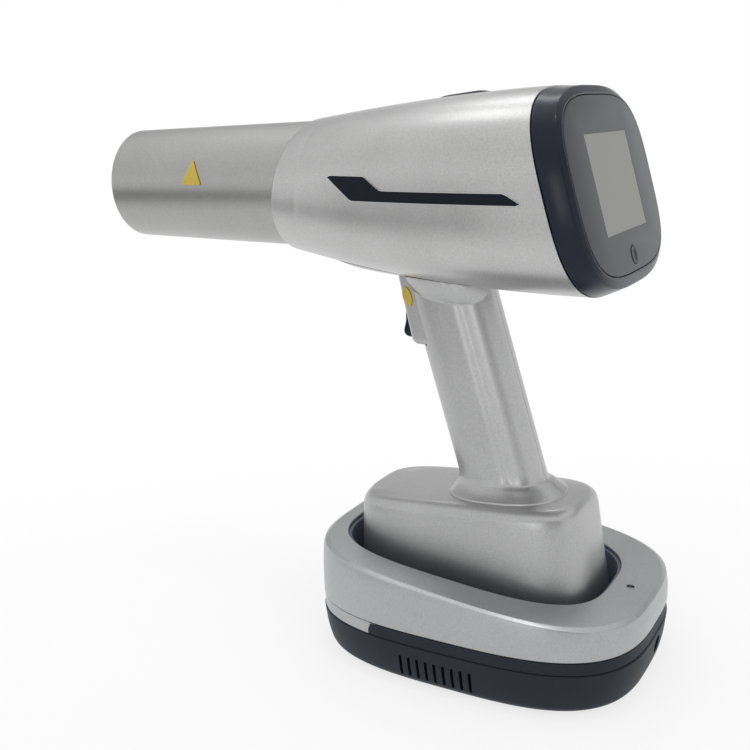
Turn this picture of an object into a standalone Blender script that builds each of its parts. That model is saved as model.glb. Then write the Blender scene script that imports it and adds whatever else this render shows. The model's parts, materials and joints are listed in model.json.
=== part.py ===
"""A handheld dental x-ray unit standing in its charging dock, built piece by piece.

Metres, +Z up. The origin is on the table under the centre of the dock. The cone points along -X and
the display faces +X, tipped up towards the operator. The unit is symmetric about the plane y = 0.
"""

import math

import bmesh
import bpy
from mathutils import Vector

# General
CLEARANCE = 0.0003
CUT_OVERRUN = 0.004
ROUND_SIDES = 24
MEDIUM_SIDES = 16
SMALL_SIDES = 12
HALF_TURN = math.pi
QUARTER_TURN = math.pi / 2

# Battery foot of the handset, seen from above
FOOT_HALF_LENGTH = 0.0700
FOOT_HALF_WIDTH = 0.0385

# Dock: charging base, seen from above as a rounded oblong round the well that takes the foot
WELL_GAP_LENGTH = 0.0054
WELL_GAP_WIDTH = 0.0105
WELL_HALF_LENGTH = FOOT_HALF_LENGTH + WELL_GAP_LENGTH
WELL_HALF_WIDTH = FOOT_HALF_WIDTH + WELL_GAP_WIDTH
LID_RIM_LENGTH = 0.0176
LID_RIM_WIDTH = 0.0210
DOCK_HALF_LENGTH = WELL_HALF_LENGTH + LID_RIM_LENGTH
DOCK_HALF_WIDTH = WELL_HALF_WIDTH + LID_RIM_WIDTH
DOCK_POWER = 3.15
DOCK_WALL = 0.0024
DOCK_SIDES = 48
FOOT_PAD_HEIGHT = 0.0015
FOOT_PAD_RADIUS = 0.007
FOOT_PAD_INSET = (0.0310, 0.0280)
TUB_FLOOR = 0.002
TUB_BOTTOM_INSET = 0.0075
TUB_LOW_INSET = 0.0034
TUB_LOW_HEIGHT = 0.0030
TUB_MID_HEIGHT = 0.0115
TUB_MID_INSET = 0.0012
TUB_TOP_Z = 0.0250
BAND_TOP_Z = 0.0320
BAND_SPLIT_X = -0.0435
BAND_RECESS = 0.0004
BAND_FRONT_POINTS = 20
BAND_REAR_POINTS = 36
LID_Z = 0.0568
LID_SLOPE = -0.097
LID_SHOULDER_DROP = 0.0050
LID_SHOULDER_INSET = 0.0010
LID_EDGE_DROP = 0.0014
LID_EDGE_INSET = 0.0024
LID_TOP_INSET = 0.0046
LID_FRONT_SHIFT = 0.0003
WELL_CENTRE_X = -0.0065
WELL_POWER = 3.2
WELL_LIP_DEPTH = 0.0018
WELL_TAPER = 0.0036
LINER_WALL = 0.0018
LINER_FLOOR = 0.0022
LINER_FLOOR_TOP_Z = 0.0210
VENT_COUNT = 9
VENT_PITCH = 0.0050
VENT_WIDTH = 0.0017
VENT_BOTTOM_Z = 0.0060
VENT_TOP_Z = 0.0182
VENT_CENTRE_X = -0.0035
DOCK_BOARD_INSET = 0.0364
DOCK_BOARD_WIDTH = 0.046
DOCK_BOARD_THICKNESS = 0.0016
PIN_BLOCK_SIZE = (0.012, 0.024)
PIN_RADIUS = 0.0016
PIN_SPACING = 0.012
PIN_LENGTH = 0.0122
PIN_BORE_GAP = 0.0004
JACK_CENTRE = (0.0050, 0.0165)
JACK_SIZE = (0.0140, 0.0090, 0.0090)
JACK_BORE_RADIUS = 0.0032
JACK_BORE_DEPTH = 0.0100
JACK_WINDOW_RADIUS = 0.0048
LIGHT_PIPE_RADIUS = 0.0018
LIGHT_PIPE_INSET = 0.0145
LIGHT_PIPE_X = DOCK_HALF_LENGTH - LIGHT_PIPE_INSET
LIGHT_PIPE_LENGTH = 0.0060
DOCK_SCREW_INSETS = (0.0259, 0.0189)
DOCK_POST_RADIUS = 0.0036
DOCK_POST_BOTTOM_Z = 0.0060
SCREW_RADIUS = 0.0015
SCREW_HEAD_RADIUS = 0.0028
SCREW_HEAD_HEIGHT = 0.0010
SCREW_LENGTH = 0.0100

# Battery foot of the handset, from the seam up
FOOT_CENTRE_X = -0.0061
FOOT_POWER = 3.9
FOOT_SIDES = 40
FOOT_WALL = 0.0025
FOOT_SEAM_Z = 0.0290
FOOT_BASE_ROUND = 0.0030
FOOT_WAIST_Z = 0.0560
FOOT_WAIST_INSET = (0.0030, 0.0025)
FOOT_SHOULDER_Z = 0.0835
FOOT_SHOULDER_ROUND = 0.0012
FOOT_ROUND_SHARE = 0.62
FOOT_SHOULDER_INSET = (0.0050, 0.0048)
FOOT_TOP_Z = 0.0908
FOOT_TOP_INSET = (0.0085, 0.0092)
FOOT_TOP_SLOPE = 0.063
FOOT_TOP_SHIFT = -0.0028
FOOT_CROWN = 0.0012
NECK_TOP_Z = 0.1010
NECK_FLARE_HEIGHT = 0.0058
NECK_FLARE = (0.0060, 0.0080)
CELL_RADIUS = 0.0091
CELL_LENGTH = 0.0650
CELL_CAP_RADIUS = 0.0030
CELL_CAP_HEIGHT = 0.0010
TRAY_THICKNESS = 0.0015
TRAY_WALL_HEIGHT = 0.0340
TRAY_HALF_WIDTH = 0.0200
BATTERY_BOARD_SIZE = (0.056, 0.034, 0.0016)
PAD_RADIUS = 0.0038
PAD_THICKNESS = 0.0006

# Grip, a leaning rounded post from the battery foot to the belly
GRIP_HALF_DEPTH = 0.0243
GRIP_HALF_WIDTH = 0.0170
GRIP_POWER = 2.45
GRIP_LEAN = 0.29
GRIP_REFERENCE = (-0.0126, 0.1680)
GRIP_WALL = 0.0025
GRIP_HALF_SIDES = 14
GRIP_FLARE_HEIGHT = 0.0085
GRIP_FLARE = (0, 0.0042)

# Trigger group, on the front of the grip
HOUSING_BOTTOM_Z = 0.1730
HOUSING_HALF_WIDTH = 0.0128
HOUSING_FRONT = (-0.0460, 0.1900)
HOUSING_LEAN = 0.225
HOUSING_ROUND = 0.0032
HOUSING_WRAP = 0.0130
MECHANISM_HALF_WIDTH = 0.0102
MECHANISM_DEPTH = 0.0150
MECHANISM_HEIGHT = 0.0260
POCKET_HALF_WIDTH = 0.0082
POCKET_DEPTH = 0.0115
POCKET_BOTTOM_Z = 0.1745
POCKET_TOP_Z = 0.1950
TRIGGER_HALF_WIDTH = 0.0076
TRIGGER_THICKNESS = 0.0050
TRIGGER_TOP_GAP = 0.0008
TRIGGER_FACE_SHARES = (
    (0, 0),
    (0.12, 0.18),
    (0.3, 0.38),
    (0.52, 0.6),
    (0.72, 0.86),
    (0.86, 1),
    (0.95, 0.92),
    (1, 0.62),
)
TRIGGER_BACK_SHARES = ((1, 0.2), (0.8, 0.55), (0.4, 0.8), (0, 0.95))
TRIGGER_BULGE = 0.0062
TRIGGER_PIVOT_DROP = 0.0046
TRIGGER_PIVOT_DEPTH = 0.0032
TRIGGER_PIN_RADIUS = 0.0011
TRIGGER_HUB_RADIUS = 0.0023
SPRING_WIRE_RADIUS = 0.0003
SPRING_TURNS = 3
SPRING_TURN_POINTS = 10
SPRING_PITCH = 0.0012
TRIGGER_SWITCH_SIZE = (0.0040, 0.0100, 0.0070)

# Body, lofted through leaning sections from the nose to the bezel
NOSE_TOP = (-0.1000, 0.2934)
NOSE_BOTTOM = (-0.1140, 0.2205)
NOSE_HALF_WIDTH = 0.0372
NOSE_SIDE_REACH = 0.0050
NOSE_REACH_SHARE = 0.2
NOSE_POWER = 2.0
RIM_CENTRE = (0.0527, 0.2558)
RIM_HALF_WIDTH = 0.0664
RIM_HALF_HEIGHT = 0.0512
RIM_POWER = 3.05
RIM_TILT = 0.265
BODY_TOP_EASE = 1.5
BODY_BOTTOM_EASE = 2.05
BODY_SIDE_EASE = 2.1
BODY_WALL = 0.0022
NOSE_WALL = 0.0009
BODY_HALF_SIDES = 20
BODY_STATION_SHARES = (0, 0.06, 0.14, 0.25, 0.4, 0.56, 0.72, 0.87, 1)
BELLY_FRONT_X = -0.0850
BELLY_REAR_X = 0.0480
BELLY_HALF_WIDTH = 0.0230
BELLY_DEPTH = 0.0011
BELLY_FLAT_SHARE = 0.70
BELLY_STATIONS = 8
BELLY_ROWS = 8
LEAD_HOLE_RADIUS = 0.0045
STRIPE_BOTTOM_Z = 0.2536
STRIPE_SLIM_Z = 0.2588
STRIPE_WIDE_Z = 0.2655
STRIPE_FRONT_X = (-0.0673, -0.0519)
STRIPE_STEP_X = (-0.0446, -0.0420)
STRIPE_SLIM_X = (-0.0336, -0.0310)
STRIPE_REAR_X = (0.0355, 0.0421)
STRIPE_SLIM_STATIONS = 4
STRIPE_THICKNESS = 0.0005
WINDOW_FRONT_X = -0.0260
WINDOW_LENGTH = 0.0240
WINDOW_HALF_WIDTH = 0.0075
WINDOW_THICKNESS = 0.0012
WINDOW_STATIONS = 5

# Cone and x-ray generator, on one axis
AXIS_Z = 0.2573
CONE_FRONT_X = -0.2330
CONE_REAR_X = -0.0960
CONE_FRONT_RADIUS = 0.0320
CONE_REAR_RADIUS = 0.0349
CONE_WALL = 0.0028
CONE_LIP_ROUND = 0.0012
CONE_SIDES = 40
LINER_TUBE_WALL = 0.0010
LINER_TUBE_SETBACK = 0.0030
COLLIMATOR_RADIUS = 0.0270
COLLIMATOR_BORE = 0.0090
COLLIMATOR_THICKNESS = 0.0040
BULKHEAD_THICKNESS = 0.0040
BULKHEAD_SIDES = 32
BEAM_HOLE_RADIUS = 0.0150
TANK_RADIUS = 0.0330
TANK_LENGTH = 0.0830
TANK_WALL = 0.0030
TANK_WINDOW_RADIUS = 0.0120
TANK_COVER_THICKNESS = 0.0030
TUBE_RADIUS = 0.0110
TUBE_BACK = 0.0420
ANODE_LENGTH = 0.0070
DRIVE_BOARD_SIZE = (0.0016, 0.0460, 0.0460)

CONE_MARKER_X = -0.1700
CONE_MARKER_WIDTH = 0.0146
CONE_MARKER_TIP_WIDTH = 0.0010
CONE_MARKER_ANGLES = (0.050, 0.468)
CONE_MARKER_ROWS = 6
MARKER_THICKNESS = 0.0002
TRIGGER_MARKER_CENTRE = (-0.0447, 0.1990)
TRIGGER_MARKER_HALF_WIDTH = 0.0027
TRIGGER_MARKER_HALF_HEIGHT = 0.0053

# Bezel, glass and display, measured along the tilted facing direction from the end of the body
BEZEL_SIDE_DEPTH = 0.0090
BEZEL_CREASE = 0.0012
BEZEL_SIDE_INSET = (0.0028, 0.0034)
BEZEL_SIDE_DROP = -0.0004
GLASS_RIM = 0.0008
BEZEL_FACE_DEPTH = 0.0129
BEZEL_WALL = 0.0025
BEZEL_LEDGE = 0.0040
BEZEL_LEDGE_THICKNESS = 0.0024
BEZEL_SIDES = 56
GLASS_HALF_WIDTH = 0.0602
GLASS_HALF_HEIGHT = 0.0430
GLASS_POWER = 3.5
GLASS_THICKNESS = 0.0022
GLASS_DROP = -0.0004
GLASS_GROOVE = 0.0004
DISPLAY_SIZE = (0.0044, 0.0700, 0.0540)
CONTROL_BOARD_THICKNESS = 0.0016
CONTROL_BOARD_WIDTH = 0.0860
BUTTON_DROP = 0.0358
BUTTON_RADIUS = 0.0045
BUTTON_PROUD = 0.0003
BUTTON_CAP = 0.0019
BUTTON_STEM_RADIUS = 0.0022
BUTTON_TRAVEL = 0.0006
BUTTON_SWITCH_SIZE = (0.0021, 0.0060, 0.0060)

# Lead from the battery board up the grip to the generator
LEAD_RADIUS = 0.0021
LEAD_POINTS = 14
LEAD_TANK_INSET = 0.0100

SILVER = ("silver_paint", (0.62, 0.62, 0.60, 1), 0.33, 0.65)
BLACK = ("black_plastic", (0.020, 0.024, 0.032, 1), 0.38, 0.0)
GLASS = ("screen_glass", (0.105, 0.110, 0.120, 1), 0.15, 0.0)
DISPLAY = ("display", (0.33, 0.33, 0.31, 1), 0.4, 0.0)
RUBBER = ("rubber", (0.03, 0.03, 0.03, 1), 0.9, 0.0)
BOARD = ("circuit_board", (0.02, 0.16, 0.07, 1), 0.5, 0.0)
STEEL = ("steel", (0.56, 0.57, 0.58, 1), 0.3, 1.0)
BRASS = ("brass", (0.80, 0.60, 0.28, 1), 0.25, 1.0)
LEAD = ("lead_metal", (0.26, 0.27, 0.30, 1), 0.6, 0.8)
ALUMINIUM = ("aluminium", (0.72, 0.73, 0.75, 1), 0.4, 1.0)
COPPER = ("copper", (0.72, 0.36, 0.22, 1), 0.3, 1.0)
TUBE_GLASS = ("tube_glass", (0.70, 0.78, 0.80, 1), 0.05, 0.0)
YELLOW = ("yellow_marker", (0.76, 0.56, 0.06, 1), 0.45, 0.0)
CELL_WRAP = ("cell_wrap", (0.05, 0.22, 0.45, 1), 0.4, 0.0)
INNER_PLASTIC = ("inner_plastic", (0.12, 0.12, 0.13, 1), 0.6, 0.0)
LIGHT_PIPE = ("light_pipe", (0.35, 0.36, 0.36, 1), 0.2, 0.0)

AXIS_X = Vector((1, 0, 0))
AXIS_Y = Vector((0, 1, 0))
AXIS_Z_UP = Vector((0, 0, 1))


def clear_scene():
    for item in list(bpy.data.objects):
        bpy.data.objects.remove(item)


def material(spec):
    name, colour, roughness, metallic = spec
    found = bpy.data.materials.get(name)
    if found:
        return found
    made = bpy.data.materials.new(name)
    made.use_nodes = True
    shader = made.node_tree.nodes["Principled BSDF"]
    shader.inputs["Base Color"].default_value = colour
    shader.inputs["Roughness"].default_value = roughness
    shader.inputs["Metallic"].default_value = metallic
    made.diffuse_color = colour
    return made


def place(name, mesh, spec):
    mesh.materials.append(material(spec))
    mesh.shade_smooth()
    mesh.set_sharp_from_angle(angle=math.radians(35))
    item = bpy.data.objects.new(name, mesh)
    bpy.context.scene.collection.objects.link(item)
    return item


def hide_as_cutter(item):
    item.hide_render = True
    item.display_type = "WIRE"
    return item


def boolean(target, tool, operation="DIFFERENCE"):
    modifier = target.modifiers.new(operation.title(), "BOOLEAN")
    modifier.operation = operation
    modifier.object = hide_as_cutter(tool)
    return target


def loft(name, rings, spec, looped=False):
    """Joins rings of equally many points. A looped loft closes on itself; any other is capped."""
    shape = bmesh.new()
    rows = [[shape.verts.new(point) for point in ring] for ring in rings]
    pairs = list(zip(rows, rows[1:]))
    if looped:
        pairs.append((rows[-1], rows[0]))
    for low, high in pairs:
        for i, corner in enumerate(low):
            after = (i + 1) % len(low)
            shape.faces.new((corner, low[after], high[after], high[i]))
    if not looped:
        shape.faces.new(list(reversed(rows[0])))
        shape.faces.new(rows[-1])
    bmesh.ops.recalc_face_normals(shape, faces=shape.faces)
    mesh = bpy.data.meshes.new(name)
    shape.to_mesh(mesh)
    shape.free()
    return place(name, mesh, spec)


def superellipse(half_a, half_b, power, count, start=0.0, sweep=2 * math.pi):
    """Points of a rounded oblong, as (a, b) pairs. A full sweep leaves out the repeated last point."""
    full = abs(sweep - 2 * math.pi) < 1e-9
    steps = count if full else count - 1
    points = []
    for i in range(count):
        angle = start + sweep * i / steps
        cos, sin = math.cos(angle), math.sin(angle)
        a = math.copysign(abs(cos) ** (2 / power), cos) * half_a
        b = math.copysign(abs(sin) ** (2 / power), sin) * half_b
        points.append((a, b))
    return points


def turned(name, profile, origin, axis, spec, sides=ROUND_SIDES, looped=False):
    """A body of revolution. The profile lists (distance along the axis, radius)."""
    axis = Vector(axis).normalized()
    across = axis.orthogonal().normalized()
    other = axis.cross(across)
    rings = []
    for along, radius in profile:
        centre = Vector(origin) + axis * along
        ring = []
        for i in range(sides):
            angle = 2 * math.pi * i / sides
            ring.append(centre + (across * math.cos(angle) + other * math.sin(angle)) * radius)
        rings.append(ring)
    return loft(name, rings, spec, looped)


def block(name, size, centre, spec, tilt=0.0):
    """A box with its centre at a point, turned about Y by the tilt."""
    shape = bmesh.new()
    bmesh.ops.create_cube(shape, size=1)
    bmesh.ops.scale(shape, vec=Vector(size), verts=shape.verts)
    mesh = bpy.data.meshes.new(name)
    shape.to_mesh(mesh)
    shape.free()
    item = place(name, mesh, spec)
    item.location = centre
    item.rotation_euler = (0, tilt, 0)
    return item


def eased(share, power):
    return 1 - (1 - share) ** power


def mixed(first, last, share):
    return first + (last - first) * share


# Dock

def lid_height(x):
    return LID_Z + LID_SLOPE * x


def dock_ring(inset, height, shift=0.0):
    """A ring of the dock's outline. Height is a number, or a function of x where the ring slopes."""
    points = superellipse(DOCK_HALF_LENGTH - inset, DOCK_HALF_WIDTH - inset, DOCK_POWER, DOCK_SIDES)
    ring = []
    for a, b in points:
        z = height(a + shift) if callable(height) else height
        ring.append((a + shift, b, z))
    return ring


def well_ring(inset, height):
    points = superellipse(WELL_HALF_LENGTH - inset, WELL_HALF_WIDTH - inset, WELL_POWER, DOCK_SIDES)
    ring = []
    for a, b in points:
        x = a + WELL_CENTRE_X
        ring.append((x, b, height(x) if callable(height) else height))
    return ring


def dock_top_shell():
    bottom = BAND_TOP_Z + CLEARANCE
    thin = DOCK_WALL
    rings = [
        dock_ring(0, bottom),
        dock_ring(0, lambda x: mixed(bottom, lid_height(x), 1 / 2)),
        dock_ring(LID_SHOULDER_INSET, lambda x: lid_height(x) - LID_SHOULDER_DROP),
        dock_ring(LID_EDGE_INSET, lambda x: lid_height(x) - LID_EDGE_DROP, LID_FRONT_SHIFT),
        dock_ring(LID_TOP_INSET, lid_height, LID_FRONT_SHIFT),
        well_ring(0, lid_height),
        well_ring(0, lambda x: lid_height(x) - WELL_LIP_DEPTH),
        well_ring(-thin / 2, lambda x: lid_height(x) - thin),
        dock_ring(LID_TOP_INSET + thin, lambda x: lid_height(x) - thin, LID_FRONT_SHIFT),
        dock_ring(LID_SHOULDER_INSET + thin, lambda x: lid_height(x) - LID_SHOULDER_DROP - thin / 2),
        dock_ring(thin, lambda x: mixed(bottom, lid_height(x), 1 / 2)),
        dock_ring(thin, bottom),
    ]
    shell = loft("dock_top_shell", rings, SILVER, looped=True)
    hole_top = lid_height(LIGHT_PIPE_X)
    hole_radius = LIGHT_PIPE_RADIUS + CLEARANCE
    hole = turned(
        "light_hole_cutter",
        [(-DOCK_WALL - CUT_OVERRUN, hole_radius), (CUT_OVERRUN, hole_radius)],
        (LIGHT_PIPE_X, 0, hole_top),
        AXIS_Z_UP,
        BLACK,
        SMALL_SIDES,
    )
    boolean(shell, hole)
    pipe_top = hole_top - CLEARANCE
    turned(
        "dock_light_pipe",
        [(-LIGHT_PIPE_LENGTH, LIGHT_PIPE_RADIUS), (0, LIGHT_PIPE_RADIUS)],
        (LIGHT_PIPE_X, 0, pipe_top),
        AXIS_Z_UP,
        LIGHT_PIPE,
        SMALL_SIDES,
    )


def pin_places():
    return [(WELL_CENTRE_X, -PIN_SPACING / 2), (WELL_CENTRE_X, PIN_SPACING / 2)]


def dock_well_liner():
    floor_bottom = LINER_FLOOR_TOP_Z - LINER_FLOOR
    top_drop = WELL_LIP_DEPTH + CLEARANCE

    def top(x):
        return lid_height(x) - top_drop

    rings = [
        well_ring(WELL_TAPER + LINER_WALL, floor_bottom),
        well_ring(WELL_TAPER - LINER_WALL, LINER_FLOOR_TOP_Z),
        well_ring(-CLEARANCE, lambda x: top(x) - DOCK_WALL),
        well_ring(0, top),
        well_ring(LINER_WALL, top),
        well_ring(WELL_TAPER + LINER_WALL / 2, lambda x: LINER_FLOOR_TOP_Z + LINER_WALL),
        well_ring(WELL_TAPER + LINER_WALL * 2, LINER_FLOOR_TOP_Z),
    ]
    liner = loft("dock_well_liner", rings, BLACK)
    for i, (x, y) in enumerate(dock_post_places()):
        reach = floor_bottom + LINER_FLOOR / 2 - DOCK_POST_BOTTOM_Z
        post = turned(
            f"post_tool_{i}",
            [(0, DOCK_POST_RADIUS), (reach, DOCK_POST_RADIUS)],
            (x, y, DOCK_POST_BOTTOM_Z),
            AXIS_Z_UP,
            BLACK,
            SMALL_SIDES,
        )
        boolean(liner, post, "UNION")
    for i, (x, y) in enumerate(dock_post_places()):
        depth = SCREW_LENGTH + CLEARANCE
        bore = turned(
            f"post_bore_cutter_{i}",
            [(-CUT_OVERRUN, SCREW_RADIUS + CLEARANCE), (depth, SCREW_RADIUS + CLEARANCE)],
            (x, y, screw_seat_z()),
            AXIS_Z_UP,
            BLACK,
            SMALL_SIDES,
        )
        boolean(liner, bore)
    hole_radius = PIN_RADIUS + PIN_BORE_GAP
    for i, (x, y) in enumerate(pin_places()):
        hole = turned(
            f"pin_hole_cutter_{i}",
            [(-CUT_OVERRUN, hole_radius), (LINER_FLOOR + CUT_OVERRUN, hole_radius)],
            (x, y, floor_bottom),
            AXIS_Z_UP,
            BLACK,
            SMALL_SIDES,
        )
        boolean(liner, hole)


def dock_post_places():
    front, rear = DOCK_SCREW_INSETS
    return [(WELL_CENTRE_X - WELL_HALF_LENGTH + front, 0), (WELL_CENTRE_X + WELL_HALF_LENGTH - rear, 0)]


def screw_seat_z():
    return FOOT_PAD_HEIGHT + SCREW_HEAD_HEIGHT + CLEARANCE


def band_piece(name, front, spec):
    """One length of the band between tub and lid: the silver front or the black rest."""
    low = TUB_TOP_Z + CLEARANCE
    high = BAND_TOP_Z
    split_x = BAND_SPLIT_X - CLEARANCE if front else BAND_SPLIT_X + CLEARANCE
    split = split_angle(split_x / DOCK_HALF_LENGTH)
    if front:
        start, sweep, count = split, 2 * (HALF_TURN - split), BAND_FRONT_POINTS
    else:
        start, sweep, count = -split, 2 * split, BAND_REAR_POINTS

    def edge(inset):
        long, wide = DOCK_HALF_LENGTH - inset, DOCK_HALF_WIDTH - inset
        return superellipse(long, wide, DOCK_POWER, count, start, sweep)

    rings = []
    for (ox, oy), (ix, iy) in zip(edge(BAND_RECESS), edge(BAND_RECESS + DOCK_WALL)):
        rings.append([(ox, oy, low), (ox, oy, high), (ix, iy, high), (ix, iy, low)])
    return loft(name, rings, spec)


def split_angle(share):
    """The angle at which the dock's outline reaches this share of its half length."""
    return math.acos(math.copysign(abs(share) ** (DOCK_POWER / 2), share))


def dock_base_tub():
    z0 = FOOT_PAD_HEIGHT
    wall = DOCK_WALL
    rings = [
        dock_ring(TUB_BOTTOM_INSET, z0),
        dock_ring(TUB_LOW_INSET, z0 + TUB_LOW_HEIGHT),
        dock_ring(TUB_MID_INSET, z0 + TUB_MID_HEIGHT),
        dock_ring(0, TUB_TOP_Z),
        dock_ring(wall, TUB_TOP_Z),
        dock_ring(TUB_MID_INSET + wall, z0 + TUB_MID_HEIGHT),
        dock_ring(TUB_LOW_INSET + wall, z0 + TUB_LOW_HEIGHT),
        dock_ring(TUB_BOTTOM_INSET + wall / 2, z0 + TUB_FLOOR),
    ]
    tub = loft("dock_base_tub", rings, BLACK)
    for i in range(VENT_COUNT):
        x = VENT_CENTRE_X + (i - (VENT_COUNT - 1) / 2) * VENT_PITCH
        size = (VENT_WIDTH, 2 * (DOCK_HALF_WIDTH + CUT_OVERRUN), VENT_TOP_Z - VENT_BOTTOM_Z)
        slot = block(f"vent_cutter_{i}", size, (x, 0, (VENT_TOP_Z + VENT_BOTTOM_Z) / 2), BLACK)
        boolean(tub, slot)
    jack_y, jack_z = JACK_CENTRE
    window = turned(
        "jack_window_cutter",
        [(0, JACK_WINDOW_RADIUS), (JACK_SIZE[0], JACK_WINDOW_RADIUS)],
        (DOCK_HALF_LENGTH - JACK_SIZE[0] / 2, jack_y, jack_z),
        AXIS_X,
        BLACK,
        MEDIUM_SIDES,
    )
    boolean(tub, window)
    seat = screw_seat_z()
    for i, (x, y) in enumerate(dock_post_places()):
        head = turned(
            f"screw_hole_cutter_{i}",
            [
                (-SCREW_HEAD_HEIGHT - CUT_OVERRUN, SCREW_HEAD_RADIUS + CLEARANCE),
                (0, SCREW_HEAD_RADIUS + CLEARANCE),
                (0, SCREW_RADIUS + CLEARANCE),
                (CUT_OVERRUN, SCREW_RADIUS + CLEARANCE),
            ],
            (x, y, seat),
            AXIS_Z_UP,
            BLACK,
            SMALL_SIDES,
        )
        boolean(tub, head)
        turned(
            f"dock_screw_{i + 1}",
            [
                (-SCREW_HEAD_HEIGHT - CLEARANCE, SCREW_HEAD_RADIUS),
                (-CLEARANCE, SCREW_HEAD_RADIUS),
                (-CLEARANCE, SCREW_RADIUS),
                (SCREW_LENGTH - CLEARANCE, SCREW_RADIUS),
            ],
            (x, y, seat),
            AXIS_Z_UP,
            STEEL,
            SMALL_SIDES,
        )


def dock_feet():
    inset_x, inset_y = FOOT_PAD_INSET
    offset_x, offset_y = DOCK_HALF_LENGTH - inset_x, DOCK_HALF_WIDTH - inset_y
    places = [(sx * offset_x, sy * offset_y) for sx in (-1, 1) for sy in (-1, 1)]
    for i, (x, y) in enumerate(places):
        turned(
            f"dock_foot_{i + 1}",
            [(0, FOOT_PAD_RADIUS), (FOOT_PAD_HEIGHT - CLEARANCE, FOOT_PAD_RADIUS)],
            (x, y, 0),
            AXIS_Z_UP,
            RUBBER,
            MEDIUM_SIDES,
        )


def dock_electronics():
    board_bottom = FOOT_PAD_HEIGHT + TUB_FLOOR + CLEARANCE
    thick = DOCK_BOARD_THICKNESS
    board_size = ((WELL_HALF_LENGTH - DOCK_BOARD_INSET) * 2, DOCK_BOARD_WIDTH, thick)
    block("dock_board", board_size, (WELL_CENTRE_X, 0, board_bottom + thick / 2), BOARD)
    block_bottom = board_bottom + thick + CLEARANCE
    block_top = LINER_FLOOR_TOP_Z - LINER_FLOOR - CLEARANCE
    pin_block = block(
        "dock_pin_block",
        (*PIN_BLOCK_SIZE, block_top - block_bottom),
        (WELL_CENTRE_X, 0, (block_bottom + block_top) / 2),
        INNER_PLASTIC,
    )
    for side, (x, y) in zip(("left", "right"), pin_places()):
        bore_radius = PIN_RADIUS + PIN_BORE_GAP
        bore = turned(
            f"pin_bore_cutter_{side}",
            [(block_bottom - CUT_OVERRUN, bore_radius), (block_top + CUT_OVERRUN, bore_radius)],
            (x, y, 0),
            AXIS_Z_UP,
            BRASS,
            SMALL_SIDES,
        )
        boolean(pin_block, bore)
        turned(
            f"charge_pin_{side}",
            [(-PIN_LENGTH, PIN_RADIUS), (-PIN_RADIUS / 2, PIN_RADIUS), (0, PIN_RADIUS / 2)],
            (x, y, LINER_FLOOR_TOP_Z),
            AXIS_Z_UP,
            BRASS,
            SMALL_SIDES,
        )
    length = JACK_SIZE[0]
    jack_y, jack_z = JACK_CENTRE
    face_x = DOCK_HALF_LENGTH - DOCK_WALL - TUB_MID_INSET - CLEARANCE * 3
    jack = block("dc_jack", JACK_SIZE, (face_x - length / 2, jack_y, jack_z), INNER_PLASTIC)
    bore = turned(
        "jack_bore_cutter",
        [(-JACK_BORE_DEPTH, JACK_BORE_RADIUS), (CUT_OVERRUN, JACK_BORE_RADIUS)],
        (face_x, jack_y, jack_z),
        AXIS_X,
        STEEL,
        MEDIUM_SIDES,
    )
    boolean(jack, bore)


# Battery foot

def grip_x(z):
    x, reference_z = GRIP_REFERENCE
    return x - GRIP_LEAN * (z - reference_z)


def foot_tilt(share):
    """Height gained along x, from none at the seam to the whole slope at the top face."""
    return lambda x: FOOT_TOP_SLOPE * share * (x - FOOT_CENTRE_X)


def foot_ring(inset, z, tilt_share=0.0, shift=0.0, power=FOOT_POWER):
    inset_x, inset_y = inset
    rise = foot_tilt(tilt_share)
    points = superellipse(FOOT_HALF_LENGTH - inset_x, FOOT_HALF_WIDTH - inset_y, power, FOOT_SIDES)
    ring = []
    for a, b in points:
        x = a + FOOT_CENTRE_X + shift
        ring.append((x, b, z + rise(x)))
    return ring


def grip_ring(growth, z, tilt_share=0.0):
    grow_x, grow_y = growth
    rise = foot_tilt(tilt_share)
    points = superellipse(GRIP_HALF_DEPTH + grow_x, GRIP_HALF_WIDTH + grow_y, GRIP_POWER, FOOT_SIDES)
    centre = grip_x(z)
    return [(a + centre, b, z + rise(a + centre)) for a, b in points]


def both(value, extra=0.0):
    return (value[0] + extra, value[1] + extra)


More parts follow.
